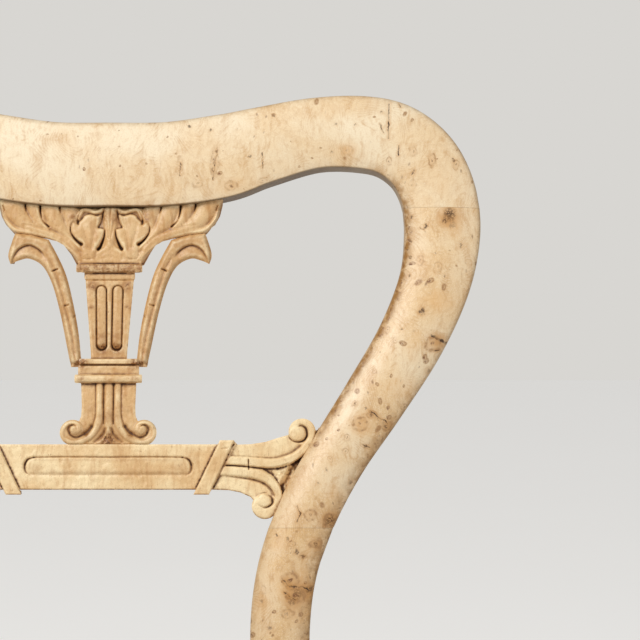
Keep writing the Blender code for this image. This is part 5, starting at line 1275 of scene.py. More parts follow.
def carved_finish(name, gold):
    """Carved burl, tan to gold, streaked; glaze and painted shade in hollows, dirt in the deepest; wear and
    painted highlight on ridges.
    """
    material, inputs, place = new_finish(name, Coat_Weight=0.06, Coat_Roughness=0.3)
    level = place.marked("recess")
    hollow_glaze_and_shade = level.most(0.0)
    ridge_wear_and_highlight = (level * -1.0).most(0.0)
    bent = place.swayed(26, 0.012)
    streaks = bent.stretched(330.0, 330.0, 45.0).noise(1.0, 5.0)
    clouds = bent.noise(42, 5.0)
    pits = bent.stretched(700.0, 700.0, 330.0).noise(1.0, 2.0).between(0.64, 0.80)
    wood = (clouds.between(0.34, 0.66) + gold).coloured(CARVED_PALE_AND_HIGHLIGHT, CARVED_TAN)
    wood = (streaks.between(0.44, 0.74) * 0.45 + gold * 0.5).coloured(wood, CARVED_GOLD)
    wood = (clouds.between(0.54, 0.72) * (0.2 + 0.8 * gold)).coloured(wood, CARVED_GOLD)
    # Painted highlight with wear: proud ridges are lightened toward pale.
    rubbed = ridge_wear_and_highlight.between(0.02, 0.5) * place.noise(70, 3.0).between(0.30, 0.60)
    wood = (rubbed * (0.4 + 0.65 * gold)).coloured(wood, CARVED_PALE_AND_HIGHLIGHT)
    wood = (pits * 0.55).coloured(wood, CARVED_GLAZE_AND_SHADE)
    grit = place.noise(1300, 3.0)
    wood = (grit.between(0.50, 0.80) * 0.30).coloured(wood, CARVED_GLAZE_AND_SHADE)
    # The stain mark holds real stains and dirt, and on the cross rail also painted shade.
    stain_and_shade = place.marked("stain_and_shade")
    wood = (stain_and_shade * (place.noise(380, 4.0).between(0.30, 0.66) * 0.9 + 0.4)).coloured(wood, CARVED_STAIN_AND_SHADE)
    crumbs = place.noise(760, 3.0).between(0.50, 0.62)
    wood = (stain_and_shade.between(0.55, 0.95) * crumbs * 0.8).coloured(wood, CARVED_DIRT_AND_SHADE)
    # Painted shade with glaze and dirt: hollows darken, the deepest toward dark brown.
    ragged = hollow_glaze_and_shade * (place.noise(420, 4.0) + 0.5)
    wood = (ragged.between(0.02, 0.5) * 0.8).coloured(wood, CARVED_GLAZE_AND_SHADE)
    dirt_and_shade = ragged.between(0.36, 0.85) * 0.94
    plug(inputs["Base Color"], dirt_and_shade.coloured(wood, CARVED_DIRT_AND_SHADE))
    plug(inputs["Roughness"], streaks * 0.18 + dirt_and_shade * 0.3 + 0.36)
    bumped(inputs, streaks * 0.5 + place.noise(620, 3.0) * 0.8 - pits * 0.5, 0.3 * MM, 0.55)
    return material


def drawn(*points):
    """Points read off the photo in millimetres, set right for the carving's depth behind the frame's face."""
    points = np.array(points, float)
    lift = np.clip((points[:, 1] - LIFT_FROM) / LIFT_OVER, 0, LIFT_LIMIT) ** 2
    shift = np.column_stack([-LIFT_NARROWS * lift * points[:, 0], LIFT_START + LIFT_RAISES * lift])
    return (points + shift) * MM


def half_board(reach, low, high):
    """The right half of a carver's grid in the back, from the middle line out."""
    return np.meshgrid(np.arange(0, reach, CARVING_GRID), np.arange(low, high, CARVING_GRID))


def both_halves(field, way=1):
    """A field of the right half, with its mirror image on the left."""
    return np.hstack([way * field[:, :0:-1], field])


def slab(within, level, edge_round):
    """A flat part with a softened edge; far below outside."""
    return np.where(within > 0, level - edge_round * np.clip(1 - within / edge_round, 0, 1) ** 2, FAR_BELOW)


def with_band(field, board, line, half_width, foot, height, flatness=2):
    """A field with a round or flatter band along a line, whose half width may change on the way."""
    gap, share = nearest(board, line)
    half_width = along_line(share, half_width)
    top = foot + height * dome(gap / half_width, flatness)
    return np.where(gap < half_width, np.maximum(field, top), field)


def with_eye(field, board, middle, reach, foot, height):
    """A field with the round eye of a volute on it."""
    gap = reach_from(board, middle) / reach
    return np.where(gap < 1, np.maximum(field, foot + height * dome(gap)), field)


def spotted(stain_and_shade, board, spots):
    """A stain with spots of old dirt: where each lies and how far it reaches in millimetres; its strength."""
    for middle, reach, strength in spots:
        gap = reach_from(board, np.array(middle) * MM) / (reach * MM)
        stain_and_shade = np.maximum(stain_and_shade, strength * fade(gap))
    return stain_and_shade


def cut_lines(field, board, lines):
    """A field with grooves along smooth lines, each with its widths and depths in millimetres."""
    for points, width, depth in lines:
        line = line_through(drawn(*points), 5)
        field = field - grooved(board, line, np.array(width) * MM, np.array(depth) * MM)
    return field


def carried_out(field, depth_in):
    """A field carried on a little past the edge of the wood, so that the edge comes out clean."""
    known = depth_in > 0
    for _ in range(4):
        total = neighbours(np.pad(np.where(known, field, 0), 1))
        near = neighbours(np.pad(known.astype(float), 1))
        field = np.where(~known & (near > 0), total / np.maximum(near, 1), field)
        known = known | (near > 0)
    return field


def hand_tooled(field, depth_in):
    """A field with the slight unevenness of a carver's gouge."""
    broad = blurred(carver.normal(0, 1, field.shape), 22)
    fine = blurred(carver.normal(0, 1, field.shape), 4)
    return blurred(carried_out(field, depth_in), 2) + broad * BROAD_TOOLING * MM + fine * FINE_TOOLING * MM


def moulding(half_width, low, high, level, edge_round, swell=0.0):
    """A straight moulding across the splat: how far in each point lies, and its height."""
    (half_width, low), (_, high) = drawn((half_width, low), (0, high))
    middle, half = (low + high) / 2, (high - low) / 2
    corner_round = min(0.9 * MM, half)
    past_side = across - half_width + corner_round
    past_end = np.abs(up - middle) - half + corner_round
    past = np.hypot(np.maximum(past_side, 0), np.maximum(past_end, 0))
    within = corner_round - past - np.minimum(np.maximum(past_side, past_end), 0)
    return within, slab(within, (level - swell * ((up - middle) / half) ** 2) * MM, edge_round * MM)


def carved_across(name, board, depth_in, face, stain_and_shade, replaced, finish):
    """A carved board across the middle of the back, made from its right half."""
    carved(
        name, (both_halves(board[0], -1), both_halves(board[1])), both_halves(depth_in),
        CARVING_FRONT + both_halves(face), CARVING_BACK, in_back, CARVING_UNDERCUT, both_halves(stain_and_shade),
        body="seat_and_back", replaced=[replaced], slot="carved_wood", finish=finish,
    )


splat_wood = carved_finish("splat_wood", 0.56)
carver = np.random.default_rng(7)
splat_board = half_board(79 * MM, 220 * MM, 395 * MM)
across, up = splat_board

# The palmette: leaves fan out from the root, parted by slits, behind a drilled leaf on each side.
CREST_LINE = ((0, 381.6), (15, 381.7), (32, 382.2), (45, 383.4), (56.2, 384.6), (66, 386.2), (74.9, 387.9))
palmette_in = inside(splat_board, np.vstack([
    drawn((-20, 381.9), (15, 382.0), (32, 382.4), (45, 383.6), (56.2, 384.8), (66, 386.4), (76.6, 388.6)),
    drawn((75.6, 382.5), (73.8, 375.8), (70.6, 370.2), (64.6, 363.9), (53, 362.6), (41.5, 360.4)),
    drawn((35.5, 358.6), (30.9, 356.1), (26.2, 350.2), (22.2, 343.0), (-20, 343.0)),
]))
palmette = slab(palmette_in, -0.9 * MM, 1.0 * MM)
FAN = (
    # line from the root out, half widths, height
    (((17, 348), (21.5, 357), (25.5, 368), (28.3, 383)), (2.5, 3.6, 4.7, 5.9), 2.7),
    (((23, 354), (29, 361.5), (36, 371), (41, 384)), (2.4, 4.0, 5.9, 6.7), 3.3),
    (((33, 360.5), (41, 365.5), (48.5, 373), (52.6, 386)), (2.0, 3.2, 4.5, 5.2), 2.9),
    (((39, 363), (51, 367.6), (61, 374.5), (69.5, 389)), (2.4, 4.2, 6.6, 8.8), 3.2),
    (((0, 356), (0, 364), (0, 384)), (3.0, 4.4, 4.6), 2.6),
)
for line, half_widths, height in FAN:
    leaf_line = line_through(drawn(*line), 6)
    half_widths = np.array(half_widths) * MM
    palmette = with_band(palmette, splat_board, leaf_line, half_widths, -1.3 * MM, height * MM)
border = line_through(drawn(
    (9, 345.2), (18, 347.2), (25.0, 352.6), (31.5, 358.4), (41.5, 362.4), (54, 364.8), (64, 366.2),
    (70.2, 371.9), (73.4, 378.5),
), 6)
border_widths = np.array((2.6, 3.2, 3.0, 2.6, 1.4)) * MM
palmette = with_band(palmette, splat_board, border, border_widths, -0.9 * MM, 2.2 * MM)
palmette = blurred(palmette, 9)
root = np.clip((358 * MM - up) / (4 * MM), 0, 1) * np.clip((19 * MM - across) / (4 * MM), 0, 1)
palmette = np.where(palmette_in > 0, np.maximum(palmette, -0.1 * MM - 3 * MM * (1 - root)), palmette)
swag_widths = np.array((2.7, 2.0, 1.7)) * MM
for swag in (
    ((0, 355.5), (3.5, 352.6), (9, 350.0), (15, 348.3)),
    ((0, 351.2), (5, 348.8), (12, 346.8), (19, 346.2)),
    ((0, 346.8), (8, 345.2), (20, 344.6)),
):
    swag_line = line_through(drawn(*swag), 5)
    palmette = with_band(palmette, splat_board, swag_line, swag_widths, -0.1 * MM, 1.0 * MM)
fold = line_through(drawn(
    (4.9, 380.2), (7.6, 378.4), (11, 378.0), (14.5, 379.4), (18, 379.8), (20.4, 377.4), (22, 373.8),
), 5)
palmette = with_band(palmette, splat_board, fold, 1.4 * MM, -0.2 * MM, 1.3 * MM)
drilled_leaf = line_through(drawn(
    (10.0, 347), (8.6, 352), (7.2, 355.6), (4.4, 361.5), (3.6, 366.2), (6.0, 367.4), (8.0, 368.0),
    (6.2, 371.5), (5.4, 376.4), (9.0, 375.7), (13.3, 376.8), (17.2, 375.8), (19.0, 373.4), (21.1, 371.4),
    (21.4, 369.7), (24.6, 371.5), (26.7, 368.3), (26.3, 364), (23.8, 360.4), (20.2, 357), (19.6, 352),
    (18.4, 347), (10.0, 347),
), 4)
leaf_in = inside(splat_board, drilled_leaf)
palmette = np.where(leaf_in > 0, 1.7 * MM - 0.5 * eased(leaf_in, 3.4 * MM), palmette)
palmette = blurred(palmette, 2)
upper_share = np.clip((up - 355 * MM) / (6 * MM), 0, 1)
palmette = palmette - 0.7 * MM * fade(leaf_in / (0.35 * MM)) * upper_share
palmette = cut_lines(palmette, splat_board, (
    # line, widths, depths
    (((8.0, 353.8), (6.6, 355.8), (4.4, 361), (3.6, 366)), (0.95, 0.7, 0.3, 0.3), (5, 3.5, 1.2, 0.8)),
    (
        ((19.2, 356.8), (21.6, 358.4), (24.4, 361.4), (26.4, 365), (26.8, 368.4)),
        (0.95, 0.7, 0.3, 0.3), (5, 3.2, 1.2, 0.5),
    ),
    (
        ((47.6, 385), (47.2, 378), (45.4, 372.4), (42.6, 369.4), (41.4, 368.4)),
        (0.8, 0.55, 0.4, 0.6), (6, 3, 1.2, 2.6),
    ),
    (((34.4, 383), (34.2, 380), (33.2, 377)), (0.8, 0.5, 0.3), (5, 2, 0.5)),
    (((57.4, 386), (57.5, 382.5), (56.8, 378.5)), (0.7, 0.45, 0.3), (5, 2.2, 0.5)),
    (((72.6, 382.4), (71.4, 379.0)), (0.4, 0.4), (1.8, 1.4)),
    (((9.4, 372.5), (10.8, 364), (12.4, 354)), 1.3, (0.3, 0.8)),
    (((18.6, 371), (17.0, 364), (14.6, 355)), 1.3, (0.3, 0.8)),
    (((4.2, 381.5), (5.2, 376), (7.4, 370), (8.4, 367.4)), 0.5, (1.4, 0.5)),
    (((19.6, 378.6), (21.6, 374.6), (21.8, 371.2)), (0.5, 0.5), (1.2, 2.0)),
    (((20, 352), (27, 359), (34, 364.2), (44, 367.2), (58, 369.6)), (1.1, 0.8), (0.7, 0.4)),
    (((0, 383), (0, 372), (0, 362)), (0.6, 0.5), (1.0, 0.4)),
    (((2.6, 372), (1.6, 366), (0.6, 361)), 0.6, (0.5, 0.9)),
    (CREST_LINE, 0.6, 2.6),
))

# The capital is a square band over a hollow neck; the tapered stem has two stopped flutes with reeds.
capital_in, capital = moulding(22.1, 337.9, 343.5, 3.6, 0.8, 0.7)
neck_in, neck = moulding(16.9, 333.4, 337.9, 0.2, 0.9)
stem_in = inside(splat_board, drawn((-20, 280.5), (11.7, 280.5), (16.2, 333.6), (-20, 333.6)))
stem = slab(stem_in, 0.0, 0.9 * MM)
stem = cut_lines(stem, splat_board, ((((0, 333.2), (16.8, 333.2)), 0.5, 0.9),))
flute_top, flute_foot = drawn((5.5, 326.2), (5.0, 290.2))
flute_in = inside(splat_board, np.vstack([
    corner(flute_top, 3.8 * MM, 0, 180, 12), corner(flute_foot, 3.7 * MM, 180, 360, 12),
]))
reed_round = dome((across - flute_top[0]) / (3.6 * MM))
stem = np.where(flute_in > 0, -0.9 * MM + 0.8 * MM * reed_round, stem)
stem = stem - 1.6 * MM * fade((flute_in - 0.35 * MM) / (0.42 * MM))
stop = np.clip((flute_foot[1] + 1 * MM - up) / (4 * MM), 0, 1)
stem = np.where(flute_in > 0, stem - 2.4 * MM * stop, stem)

# The foot: a fillet, a recess, a band and a torus stand over the base.
fillet_in, fillet = moulding(19.8, 277.4, 281.0, 2.2, 0.7)
recess_in, recess = moulding(18.2, 275, 278.5, -0.4, 0.5)
band_in, band = moulding(20.2, 270.3, 276.6, 1.6, 0.8)
torus_in, torus = moulding(22.3, 264.9, 270.5, 4.4, 1.2, 1.2)

# The base: a reed runs up the middle, and on each side a band that rolls out into a volute.
scroll_middle, scroll_eye = drawn((23.6, 232.4), (21.6, 234.5))
scroll_in = 8.4 * MM - reach_from(splat_board, scroll_middle)
base_in = inside(splat_board, drawn(
    (-20, 265.2), (-20, 221.6), (24, 221.6), (24, 239.6), (19.4, 240.0), (18.0, 243.3), (17.7, 250),
    (18.3, 265.2),
))
base = np.maximum(slab(base_in, -0.1 * MM, 0.8 * MM), slab(scroll_in, 0.5 * MM, 1.4 * MM))
base = with_band(base, splat_board, drawn((0, 231), (0, 266)), 2.9 * MM, -0.9 * MM, 2.0 * MM)
roll = line_through(drawn(
    (6.2, 266), (6.1, 250), (6.0, 243), (7.5, 236.5), (11.3, 230.6), (17, 227.0), (23.6, 226.1),
    (29, 228.6), (30.2, 232.8), (28, 237.2), (23.6, 238.8), (19.6, 237.4), (18.4, 234.0),
), 6)
roll_widths = np.array((2.5, 2.5, 2.5, 2.7, 2.9, 2.7, 2.3, 2.2, 2.1, 2.0, 1.8, 1.6, 1.4)) * MM
base = with_band(base, splat_board, roll, roll_widths, -0.8 * MM, 2.2 * MM)
base = with_eye(base, splat_board, scroll_eye, 3.6 * MM, 0.4 * MM, 1.6 * MM)
base = cut_lines(base, splat_board, (
    (
        ((11.2, 236.4), (13.6, 233.2), (16.8, 231.0), (20.9, 229.2), (24.7, 230.5), (26.6, 234.0),
         (25.5, 236.8), (23.0, 237.4), (21.6, 236.6)),
        (1.4, 1.3, 0.9, 0.8, 0.7, 0.5, 0.45), (1.9, 2.0, 1.9, 1.8, 1.6, 1.3, 0.7),
    ),
    (((3.3, 265), (3.3, 238)), 0.35, 0.9),
    (((8.6, 265), (8.5, 245), (10.2, 238)), 0.35, 0.7),
    (((25.2, 232.2), (25.6, 235.0), (23.6, 237.0), (21.0, 236.4), (20.6, 234.2)), (0.35, 0.3), (1.2, 0.7)),
    (((1.8, 235), (4.0, 230.5), (9, 226)), (0.9, 1.2, 0.8), (1.2, 1.9, 1.2)),
    (((0.8, 231), (2.0, 227.5), (3.6, 225)), 0.6, 1.0),
))

RAIL_TOP = 224.9 * MM
base = np.where(up < RAIL_TOP, np.minimum(base, -1.5 * MM), base)
splat_in = np.maximum.reduce([
    palmette_in, capital_in, neck_in, stem_in, fillet_in, recess_in, band_in, torus_in, base_in, scroll_in,
])
splat_in = np.maximum(splat_in, np.minimum.reduce([12 * MM - across, up - 225 * MM, 381 * MM - up]))
splat_face = np.maximum.reduce([palmette, capital, neck, stem, fillet, recess, band, torus, base])
splat_face = hand_tooled(np.maximum(splat_face, -5.0 * MM), splat_in)
splat_stain = np.where(capital_in > 0, 0.7, np.where(base_in > 0, 0.0, 0.08))
splat_stain = spotted(splat_stain, splat_board, (
    ((4.5, 288.5), 5, 1.0), ((1, 228), 6, 0.95), ((12, 248), 3, 0.3), ((2, 243), 4, 0.6),
    ((11.5, 330), 4, 0.85), ((17.5, 278.6), 5, 0.95), ((15, 232), 3, 0.95), ((22, 230), 4, 0.4),
    ((4, 376), 5, 0.7), ((24, 376), 4, 0.8), ((4.5, 296), 4, 0.6), ((12, 316), 2, 0.8),
    ((18, 268), 3, 0.6), ((40, 368), 2, 0.8), ((71, 381), 3, 0.6),
))
carved_across("carved_splat", splat_board, splat_in, splat_face, splat_stain, "vase_splat", splat_wood)

# Horns
# Two curved handles spring from the foot mouldings and curl out under the palmette, each from its own board.
# A V runs up the middle of each and opens into a hollow under the mouth.
HORN_GRID = 0.4
HORN_BACK = CARVING_BACK + 1 * MM
HORN_UNDERCUT = 2.2 * MM
HORN_STAIN = 0.28
horn_outline = np.vstack([
    line_through(drawn(
        (17.9, 275.9), (18.6, 282), (20.7, 299.9), (24.7, 319.8), (29.2, 336.4), (35, 349), (41.2, 359.8),
    ), 6)[::-1],
    line_through(drawn(
        (25.2, 275.7), (28.2, 289.9), (32.9, 311.8), (38.4, 330.4), (45, 342.4), (53.9, 347.3), (61, 346.2),
        (66.7, 343.9),
    ), 6),
    line_through(drawn((66.7, 343.9), (68.2, 348.5), (67.7, 353.1), (65.1, 361.1), (63.8, 364.2)), 6),
    drawn((53, 363.2)),
])
horn_board = np.meshgrid(np.arange(16.6, 71, HORN_GRID) * MM, np.arange(274, 369, HORN_GRID) * MM)
horn_in = inside(horn_board, horn_outline)
horn = np.maximum(slab(horn_in, 1.8 * MM, 3.2 * MM), -1.4 * MM)
mouth_brow = line_through(drawn(
    (41.0, 346.4), (45.8, 352.6), (51.0, 356.0), (55.5, 356.8), (60, 355.2), (63.2, 352.4), (65.6, 348.0),
    (66.4, 344.6),
), 6)
mouth_in = inside(horn_board, np.vstack([mouth_brow, drawn((66, 338), (53, 338), (42, 338))]))
brow_gap = nearest(horn_board, mouth_brow)[0]
cove = 1 - brow_gap / (brow_gap + np.maximum(horn_in, 0.05 * MM))
cove = cove * np.clip(mouth_in / (0.8 * MM), 0, 1) * np.clip((horn_board[0] - 41 * MM) / (5 * MM), 0, 1)
horn = np.where(mouth_in > 0, horn - 2.8 * MM * cove, horn)
horn = cut_lines(horn, horn_board, (
    (
        ((21.8, 276), (22.9, 285), (24.9, 297), (28.4, 311), (32.4, 325.2), (36.6, 338.8), (41.0, 346.9),
         (45.8, 352.4), (51.0, 355.8), (55.5, 356.6), (60, 355.0), (63.2, 352.2)),
        (0.9, 1.1, 1.2, 1.3, 1.3, 1.1, 0.8, 0.6), (0.6, 0.7, 0.8, 0.85, 0.85, 0.8, 0.6, 0.2),
    ),
    (
        ((22.9, 285), (24.9, 297), (28.4, 311), (32.4, 325.2), (36.6, 338.8), (41.0, 346.9)),
        0.5, (0.4, 0.4, 0.1),
    ),
    (((34.8, 340.2), (36.4, 339.8), (38.4, 338.8)), 0.4, 1.8),
    (((26.8, 316.8), (28.0, 316.4), (29.6, 316.2)), 0.4, 1.6),
    (((22.8, 309.8), (23.6, 308.6)), 0.4, 1.4),
    (((20, 277.4), (26, 277.9)), 1.2, 2.0),
))
horn = hand_tooled(horn, horn_in)
horn_stain = spotted(HORN_STAIN, horn_board, [((20.5, 278), 4, 0.95)])
for side, way in (("right", 1), ("left", -1)):
    carved(
        f"{side}_carved_horn", (way * horn_board[0][:, ::way], horn_board[1]), horn_in[:, ::way],
        CARVING_FRONT + horn[:, ::way], HORN_BACK, in_back, HORN_UNDERCUT, horn_stain[:, ::way],
        body="seat_and_back", replaced=[f"{side}_horn"], slot="carved_wood", finish=splat_wood,
    )

# Cross rail
# A carved rail between the stiles: a sunk panel with a reed, a slanting ribbon near each end, and beyond it
# two branches that roll up and down into volutes against the stile.
rail_wood = carved_finish("rail_wood", -0.07)
rail_board = half_board(141 * MM, 173 * MM, 245 * MM)
across, up = rail_board
rail_in = np.minimum(84 * MM - across, np.minimum(up - 195.0 * MM, RAIL_TOP - up))
rail = slab(rail_in, 0.0, 0.8 * MM)
panel_end = drawn((49.1, 209.8))[0]
reed_past = np.hypot(np.maximum(across - panel_end[0] + 1 * MM, 0), up - panel_end[1]) / (6.0 * MM)
rail = rail + 0.25 * MM * dome(reed_past) * (rail > FAR_BELOW)
rail = cut_lines(rail, rail_board, (
    (((0, 216.1), (30, 216.3), (49, 216.0)), 0.5, 1.1),
    (
        ((49, 216.0), (53.0, 214.6), (55.0, 210.9), (54.4, 206.6), (51.6, 204.2)),
        (0.5, 0.7, 0.9, 0.8, 0.5), (1.1, 2.0, 2.4, 1.6, 0.5),
    ),
    (((0, 204.8), (30, 204.7), (51, 204.9)), 1.0, 0.6),
))

upper_in = inside(rail_board, drawn(
    (70, 210.5), (88, 210.3), (103.9, 208.8), (113.5, 209.8), (123.2, 214.1), (131, 219.5),
    (137.2, 230.5), (137.2, 234), (120, 236), (119.2, 230.9), (111.6, 228.7), (103.9, 226.2),
    (94.2, 224.7), (85, 224.4), (70, 224.4),
))
lower_in = inside(rail_board, drawn(
    (66, 194.8), (79.7, 194.4), (87.4, 192.9), (94.2, 189.9), (95.4, 188.4), (112, 180), (115.4, 186),
    (115.7, 190.4), (113.5, 197.2), (108.7, 204), (101.9, 208.4), (94, 211.0), (66, 212.0),
))
upper_eye, lower_eye, upper_middle, lower_middle = drawn(
    (124.4, 231.7), (102.6, 187.2), (128.1, 232.6), (103.6, 184.0),
)
upper_disc = inside(rail_board, np.vstack([
    corner(upper_middle, 9.0 * MM, -10, 205, 24),
    drawn((121.3, 227.3), (124.2, 226.1), (126.8, 226.1), (129.6, 227.3), (131.4, 229.8)),
]))
lower_disc = 8.6 * MM - reach_from(rail_board, lower_middle)
branches = np.maximum.reduce([
    slab(upper_in, 0.2 * MM, 0.8 * MM), slab(lower_in, -0.3 * MM, 0.8 * MM),
    slab(upper_disc, 1.0 * MM, 1.2 * MM), slab(lower_disc, 1.0 * MM, 1.2 * MM),
])
upper_band = line_through(drawn(
    (70, 214.0), (77.9, 213.8), (87.1, 213.6), (99, 212.6), (110.2, 212.2), (118.1, 214.1),
    (125.1, 217.9), (130, 222.3), (133.2, 227.3), (134.2, 232.6), (133, 237.2), (128.7, 239.3),
    (124.1, 238.7), (121.3, 234.9), (121.1, 231.3),
), 6)
lower_band = line_through(drawn(
    (62, 207.6), (77.9, 207.2), (89.8, 206.0), (98, 204.7), (104.3, 202.2), (109.2, 198.1),
    (112.2, 193.4), (112.5, 189), (110.6, 184.0), (103.6, 179.1), (98, 182.1), (99, 186.4),
), 6)
upper_widths = np.array((2.9, 2.9, 3.0, 3.3, 3.3, 3.2, 3.1, 3.0, 2.8, 2.8, 2.5, 2.2, 2.3, 2.4, 2.4)) * MM
lower_widths = np.array((3.2, 3.2, 3.1, 3.4, 3.5, 3.4, 3.0, 2.5, 2.6, 3.4, 3.2, 2.8)) * MM
branches = with_band(branches, rail_board, upper_band, upper_widths, 0.1 * MM, 1.2 * MM, 4)
branches = with_band(branches, rail_board, lower_band, lower_widths, 0.1 * MM, 1.2 * MM, 4)
for eye, reach in ((upper_eye, 5.2 * MM), (lower_eye, 4.8 * MM)):
    branches = with_eye(branches, rail_board, eye, reach, 1.0 * MM, 0.9 * MM)
branches = cut_lines(branches, rail_board, (
    # the curls of the upper and the lower volute, the parting of the branches, the hollows beside them
    (
        ((125.4, 236.0), (127.5, 236.9), (130.2, 235.4), (131.2, 232.7), (131.1, 229.9), (129.5, 227.5),
         (126.8, 226.3), (124.2, 226.3), (121.3, 227.5), (119.4, 229.9)),
        (0.5, 0.8, 0.9, 0.8, 0.7, 0.6, 0.5, 0.5), (0.6, 1.8, 2.6, 2.4, 1.9, 1.7, 1.2, 0.8),
    ),
    (
        ((104.6, 191.4), (107.5, 190.2), (108.5, 188.1), (108.5, 185.7), (106.7, 184.0), (103.8, 183.0),
         (101.3, 183.6), (99.7, 184.6)),
        (0.5, 0.9, 0.9, 0.7, 0.6, 0.5, 0.5), (0.7, 2.2, 2.4, 1.9, 1.6, 1.1, 0.5),
    ),
    (((76, 210.8), (90, 210.2), (103.9, 208.7), (111, 209.2), (119, 211.8)), 0.45, (1.5, 1.0)),
    (
        ((80, 217.2), (94.2, 216.3), (106, 215.6), (114, 216.8), (121.6, 219.8), (126.6, 223.6)),
        (0.5, 0.5, 0.9, 1.4), (0.3, 0.3, 0.6, 1.1),
    ),
    (
        ((80, 203.2), (87, 202.8), (94.2, 201.6), (102, 199.2), (106.6, 195.6), (108.6, 191.6)),
        (0.7, 1.0, 1.2, 1.0), (0.0, 0.8, 1.1, 0.9),
    ),
    (((98.2, 189.2), (101.6, 192.2), (104.6, 192.6)), 0.5, 0.4),
))

web_in = inside(rail_board, drawn(
    (90, 208.5), (100, 204), (108, 199), (112, 192), (114, 186), (118.5, 192), (122, 199.5), (132, 219),
    (140.4, 234.6), (139.4, 236.4), (137.0, 232.4), (134, 226), (128, 217), (118, 213.5), (108, 210.5),
    (98, 211),
))
near_stile = np.clip((across - 0.52 * (up - 200 * MM) - 113.5 * MM) / (3 * MM), 0, 1)
rough = blurred(carver.normal(0, 1, across.shape), 5)
web = np.where(web_in > 0, -2.7 * MM - 4.0 * MM * near_stile + rough * 1.0 * MM, FAR_BELOW)
ribbon_in = inside(rail_board, drawn((56.6, 191.4), (66.9, 191.4), (83.5, 227.2), (73.9, 227.2)))
ribbon = slab(ribbon_in, 2.8 * MM, 0.7 * MM)
flank_in = inside(rail_board, drawn(
    (66, 191.8), (68.3, 194.2), (85.3, 224.6), (83, 227.0), (72, 222), (60, 195),
))
flank = slab(flank_in, 1.2 * MM + np.minimum(rough, 0) * 3.0 * MM, 0.6 * MM)
rail_end = np.maximum(branches, np.where(across < 78 * MM, rail, FAR_BELOW))
rail_face = np.where(across < 68 * MM, rail, rail_end)
beside = fade((ribbon_in + 0.6 * MM) / (0.6 * MM))
rail_face = rail_face - beside * np.abs(rough) * 1.6 * MM
rail_face = np.maximum.reduce([rail_face, web, flank, ribbon])
rail_face = cut_lines(rail_face, rail_board, (
    (((92.7, 214.6), (92.9, 207.9)), 0.35, 2.2),
    (((75, 221.6), (79.4, 221.9)), 0.3, 0.8),
))
rail_in = np.maximum.reduce([
    rail_in, upper_in, lower_in, upper_disc, lower_disc, web_in, ribbon_in, flank_in,
])
stile_side = nearest(rail_board, drawn((141, 236.2), (107, 175.0)))[0]
# Painted shade: a dark line along the stile, in the crevice where the rail runs in behind it.
rail_stain_and_shade = 0.8 * fade(stile_side / (1.0 * MM))
# Painted shade on the side face beside each ribbon, where it turns from the light.
rail_stain_and_shade = np.maximum(rail_stain_and_shade, np.where((flank_in > 0) & (ribbon_in < 0), 0.5, 0.0))
# Painted shade along the lower edges of the rail, where they turn under.
bottom_edge_shade = np.clip(np.gradient(rail_in, CARVING_GRID, axis=0), 0, 1) * fade(rail_in / (0.5 * MM))
rail_stain_and_shade = np.maximum(rail_stain_and_shade, bottom_edge_shade)
rail_stain_and_shade = spotted(rail_stain_and_shade, rail_board, [((47, 208.5), 4, 0.3)])
# Painted shade along the top and bottom edges of the reed in the panel, heavier below, so that it reads
# domed.
in_panel = np.clip((panel_end[0] + 4 * MM - across) / (4 * MM), 0, 1)
for shade_up, reach, strength in ((214.8, 1.0, 0.2), (206.4, 1.5, 0.25)):
    panel_edge_shade = fade((up - shade_up * MM) / (reach * MM))
    rail_stain_and_shade = np.maximum(rail_stain_and_shade, strength * in_panel * panel_edge_shade)
rail_face = hand_tooled(np.maximum(rail_face, -8 * MM), rail_in)
carved_across("carved_rail", rail_board, rail_in, rail_face, rail_stain_and_shade, "cross_rail", rail_wood)

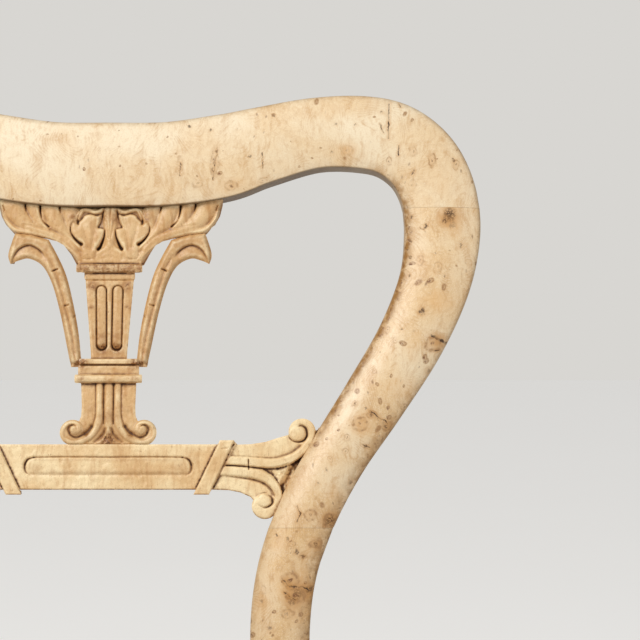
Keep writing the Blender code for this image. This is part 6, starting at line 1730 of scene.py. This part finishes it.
# Stage
# A pale floor, soft light from a large lamp up on the left and a fill on the right, and the photo's camera.
FLOOR_PALE = shade(232, 230, 226)
FLOOR_CLOUD = shade(222, 219, 214)
FLOOR_GLOW = 0.5
AIR_LIGHT = (0.33, 0.334, 0.342)
AIR_SEEN = shade(216, 214, 210)
CAMERA_PLACE = (0.13992, -1.27425, 0.86942)
CAMERA_AHEAD = Vector((0, 0.99572, -0.09237))
CAMERA_LENS = 127.84
CAMERA_SENSOR = 36
LAMP_AIM = Vector((0, 0.1, 0.6))

floor_mesh = bpy.data.meshes.new("studio_floor")
floor_mesh.from_pydata([(-6, -6, 0), (6, -6, 0), (6, 6, 0), (-6, 6, 0)], [], [(0, 1, 2, 3)])
floor = bpy.data.objects.new("studio_floor", floor_mesh)
bpy.context.scene.collection.objects.link(floor)
floor_finish, inputs, place = new_finish("floor_finish", Roughness=0.8, Emission_Strength=FLOOR_GLOW)
plug(inputs["Base Color"], (place.noise(3, 3.0) * 0.3).coloured(FLOOR_PALE, FLOOR_CLOUD))
seen = place.node("LightPath", {}, {}, "Is Camera Ray")
plug(inputs["Emission Color"], seen.coloured((0.0, 0.0, 0.0), FLOOR_PALE))
floor_mesh.materials.append(floor_finish)

LAMPS = (
    # name, place, size, power
    ("key_lamp", (-1.4, -1.7, 2.5), 1.3, 66.0),
    ("fill_lamp", (1.9, -1.6, 1.4), 1.8, 14.0),
)
for name, lamp_place, size, power in LAMPS:
    light = bpy.data.lights.new(name, "AREA")
    light.size = size
    light.energy = power
    lamp = bpy.data.objects.new(name, light)
    lamp.location = lamp_place
    lamp.rotation_euler = (LAMP_AIM - Vector(lamp_place)).to_track_quat("-Z", "Y").to_euler()
    bpy.context.scene.collection.objects.link(lamp)
world = bpy.data.worlds.new("studio")
world.use_nodes = True
air = world.node_tree.nodes["Background"]
seen = Wire(world.node_tree.nodes.new("ShaderNodeLightPath").outputs["Is Camera Ray"])
plug(air.inputs["Color"], seen.coloured(AIR_LIGHT, AIR_SEEN))
bpy.context.scene.world = world

camera = bpy.data.objects.new("camera", bpy.data.cameras.new("camera"))
camera.data.lens = CAMERA_LENS
camera.data.sensor_width = CAMERA_SENSOR
camera.location = CAMERA_PLACE
camera.rotation_euler = CAMERA_AHEAD.to_track_quat("-Z", "Y").to_euler()
bpy.context.scene.collection.objects.link(camera)
bpy.context.scene.camera = camera
bpy.context.scene.view_settings.view_transform = "Standard"
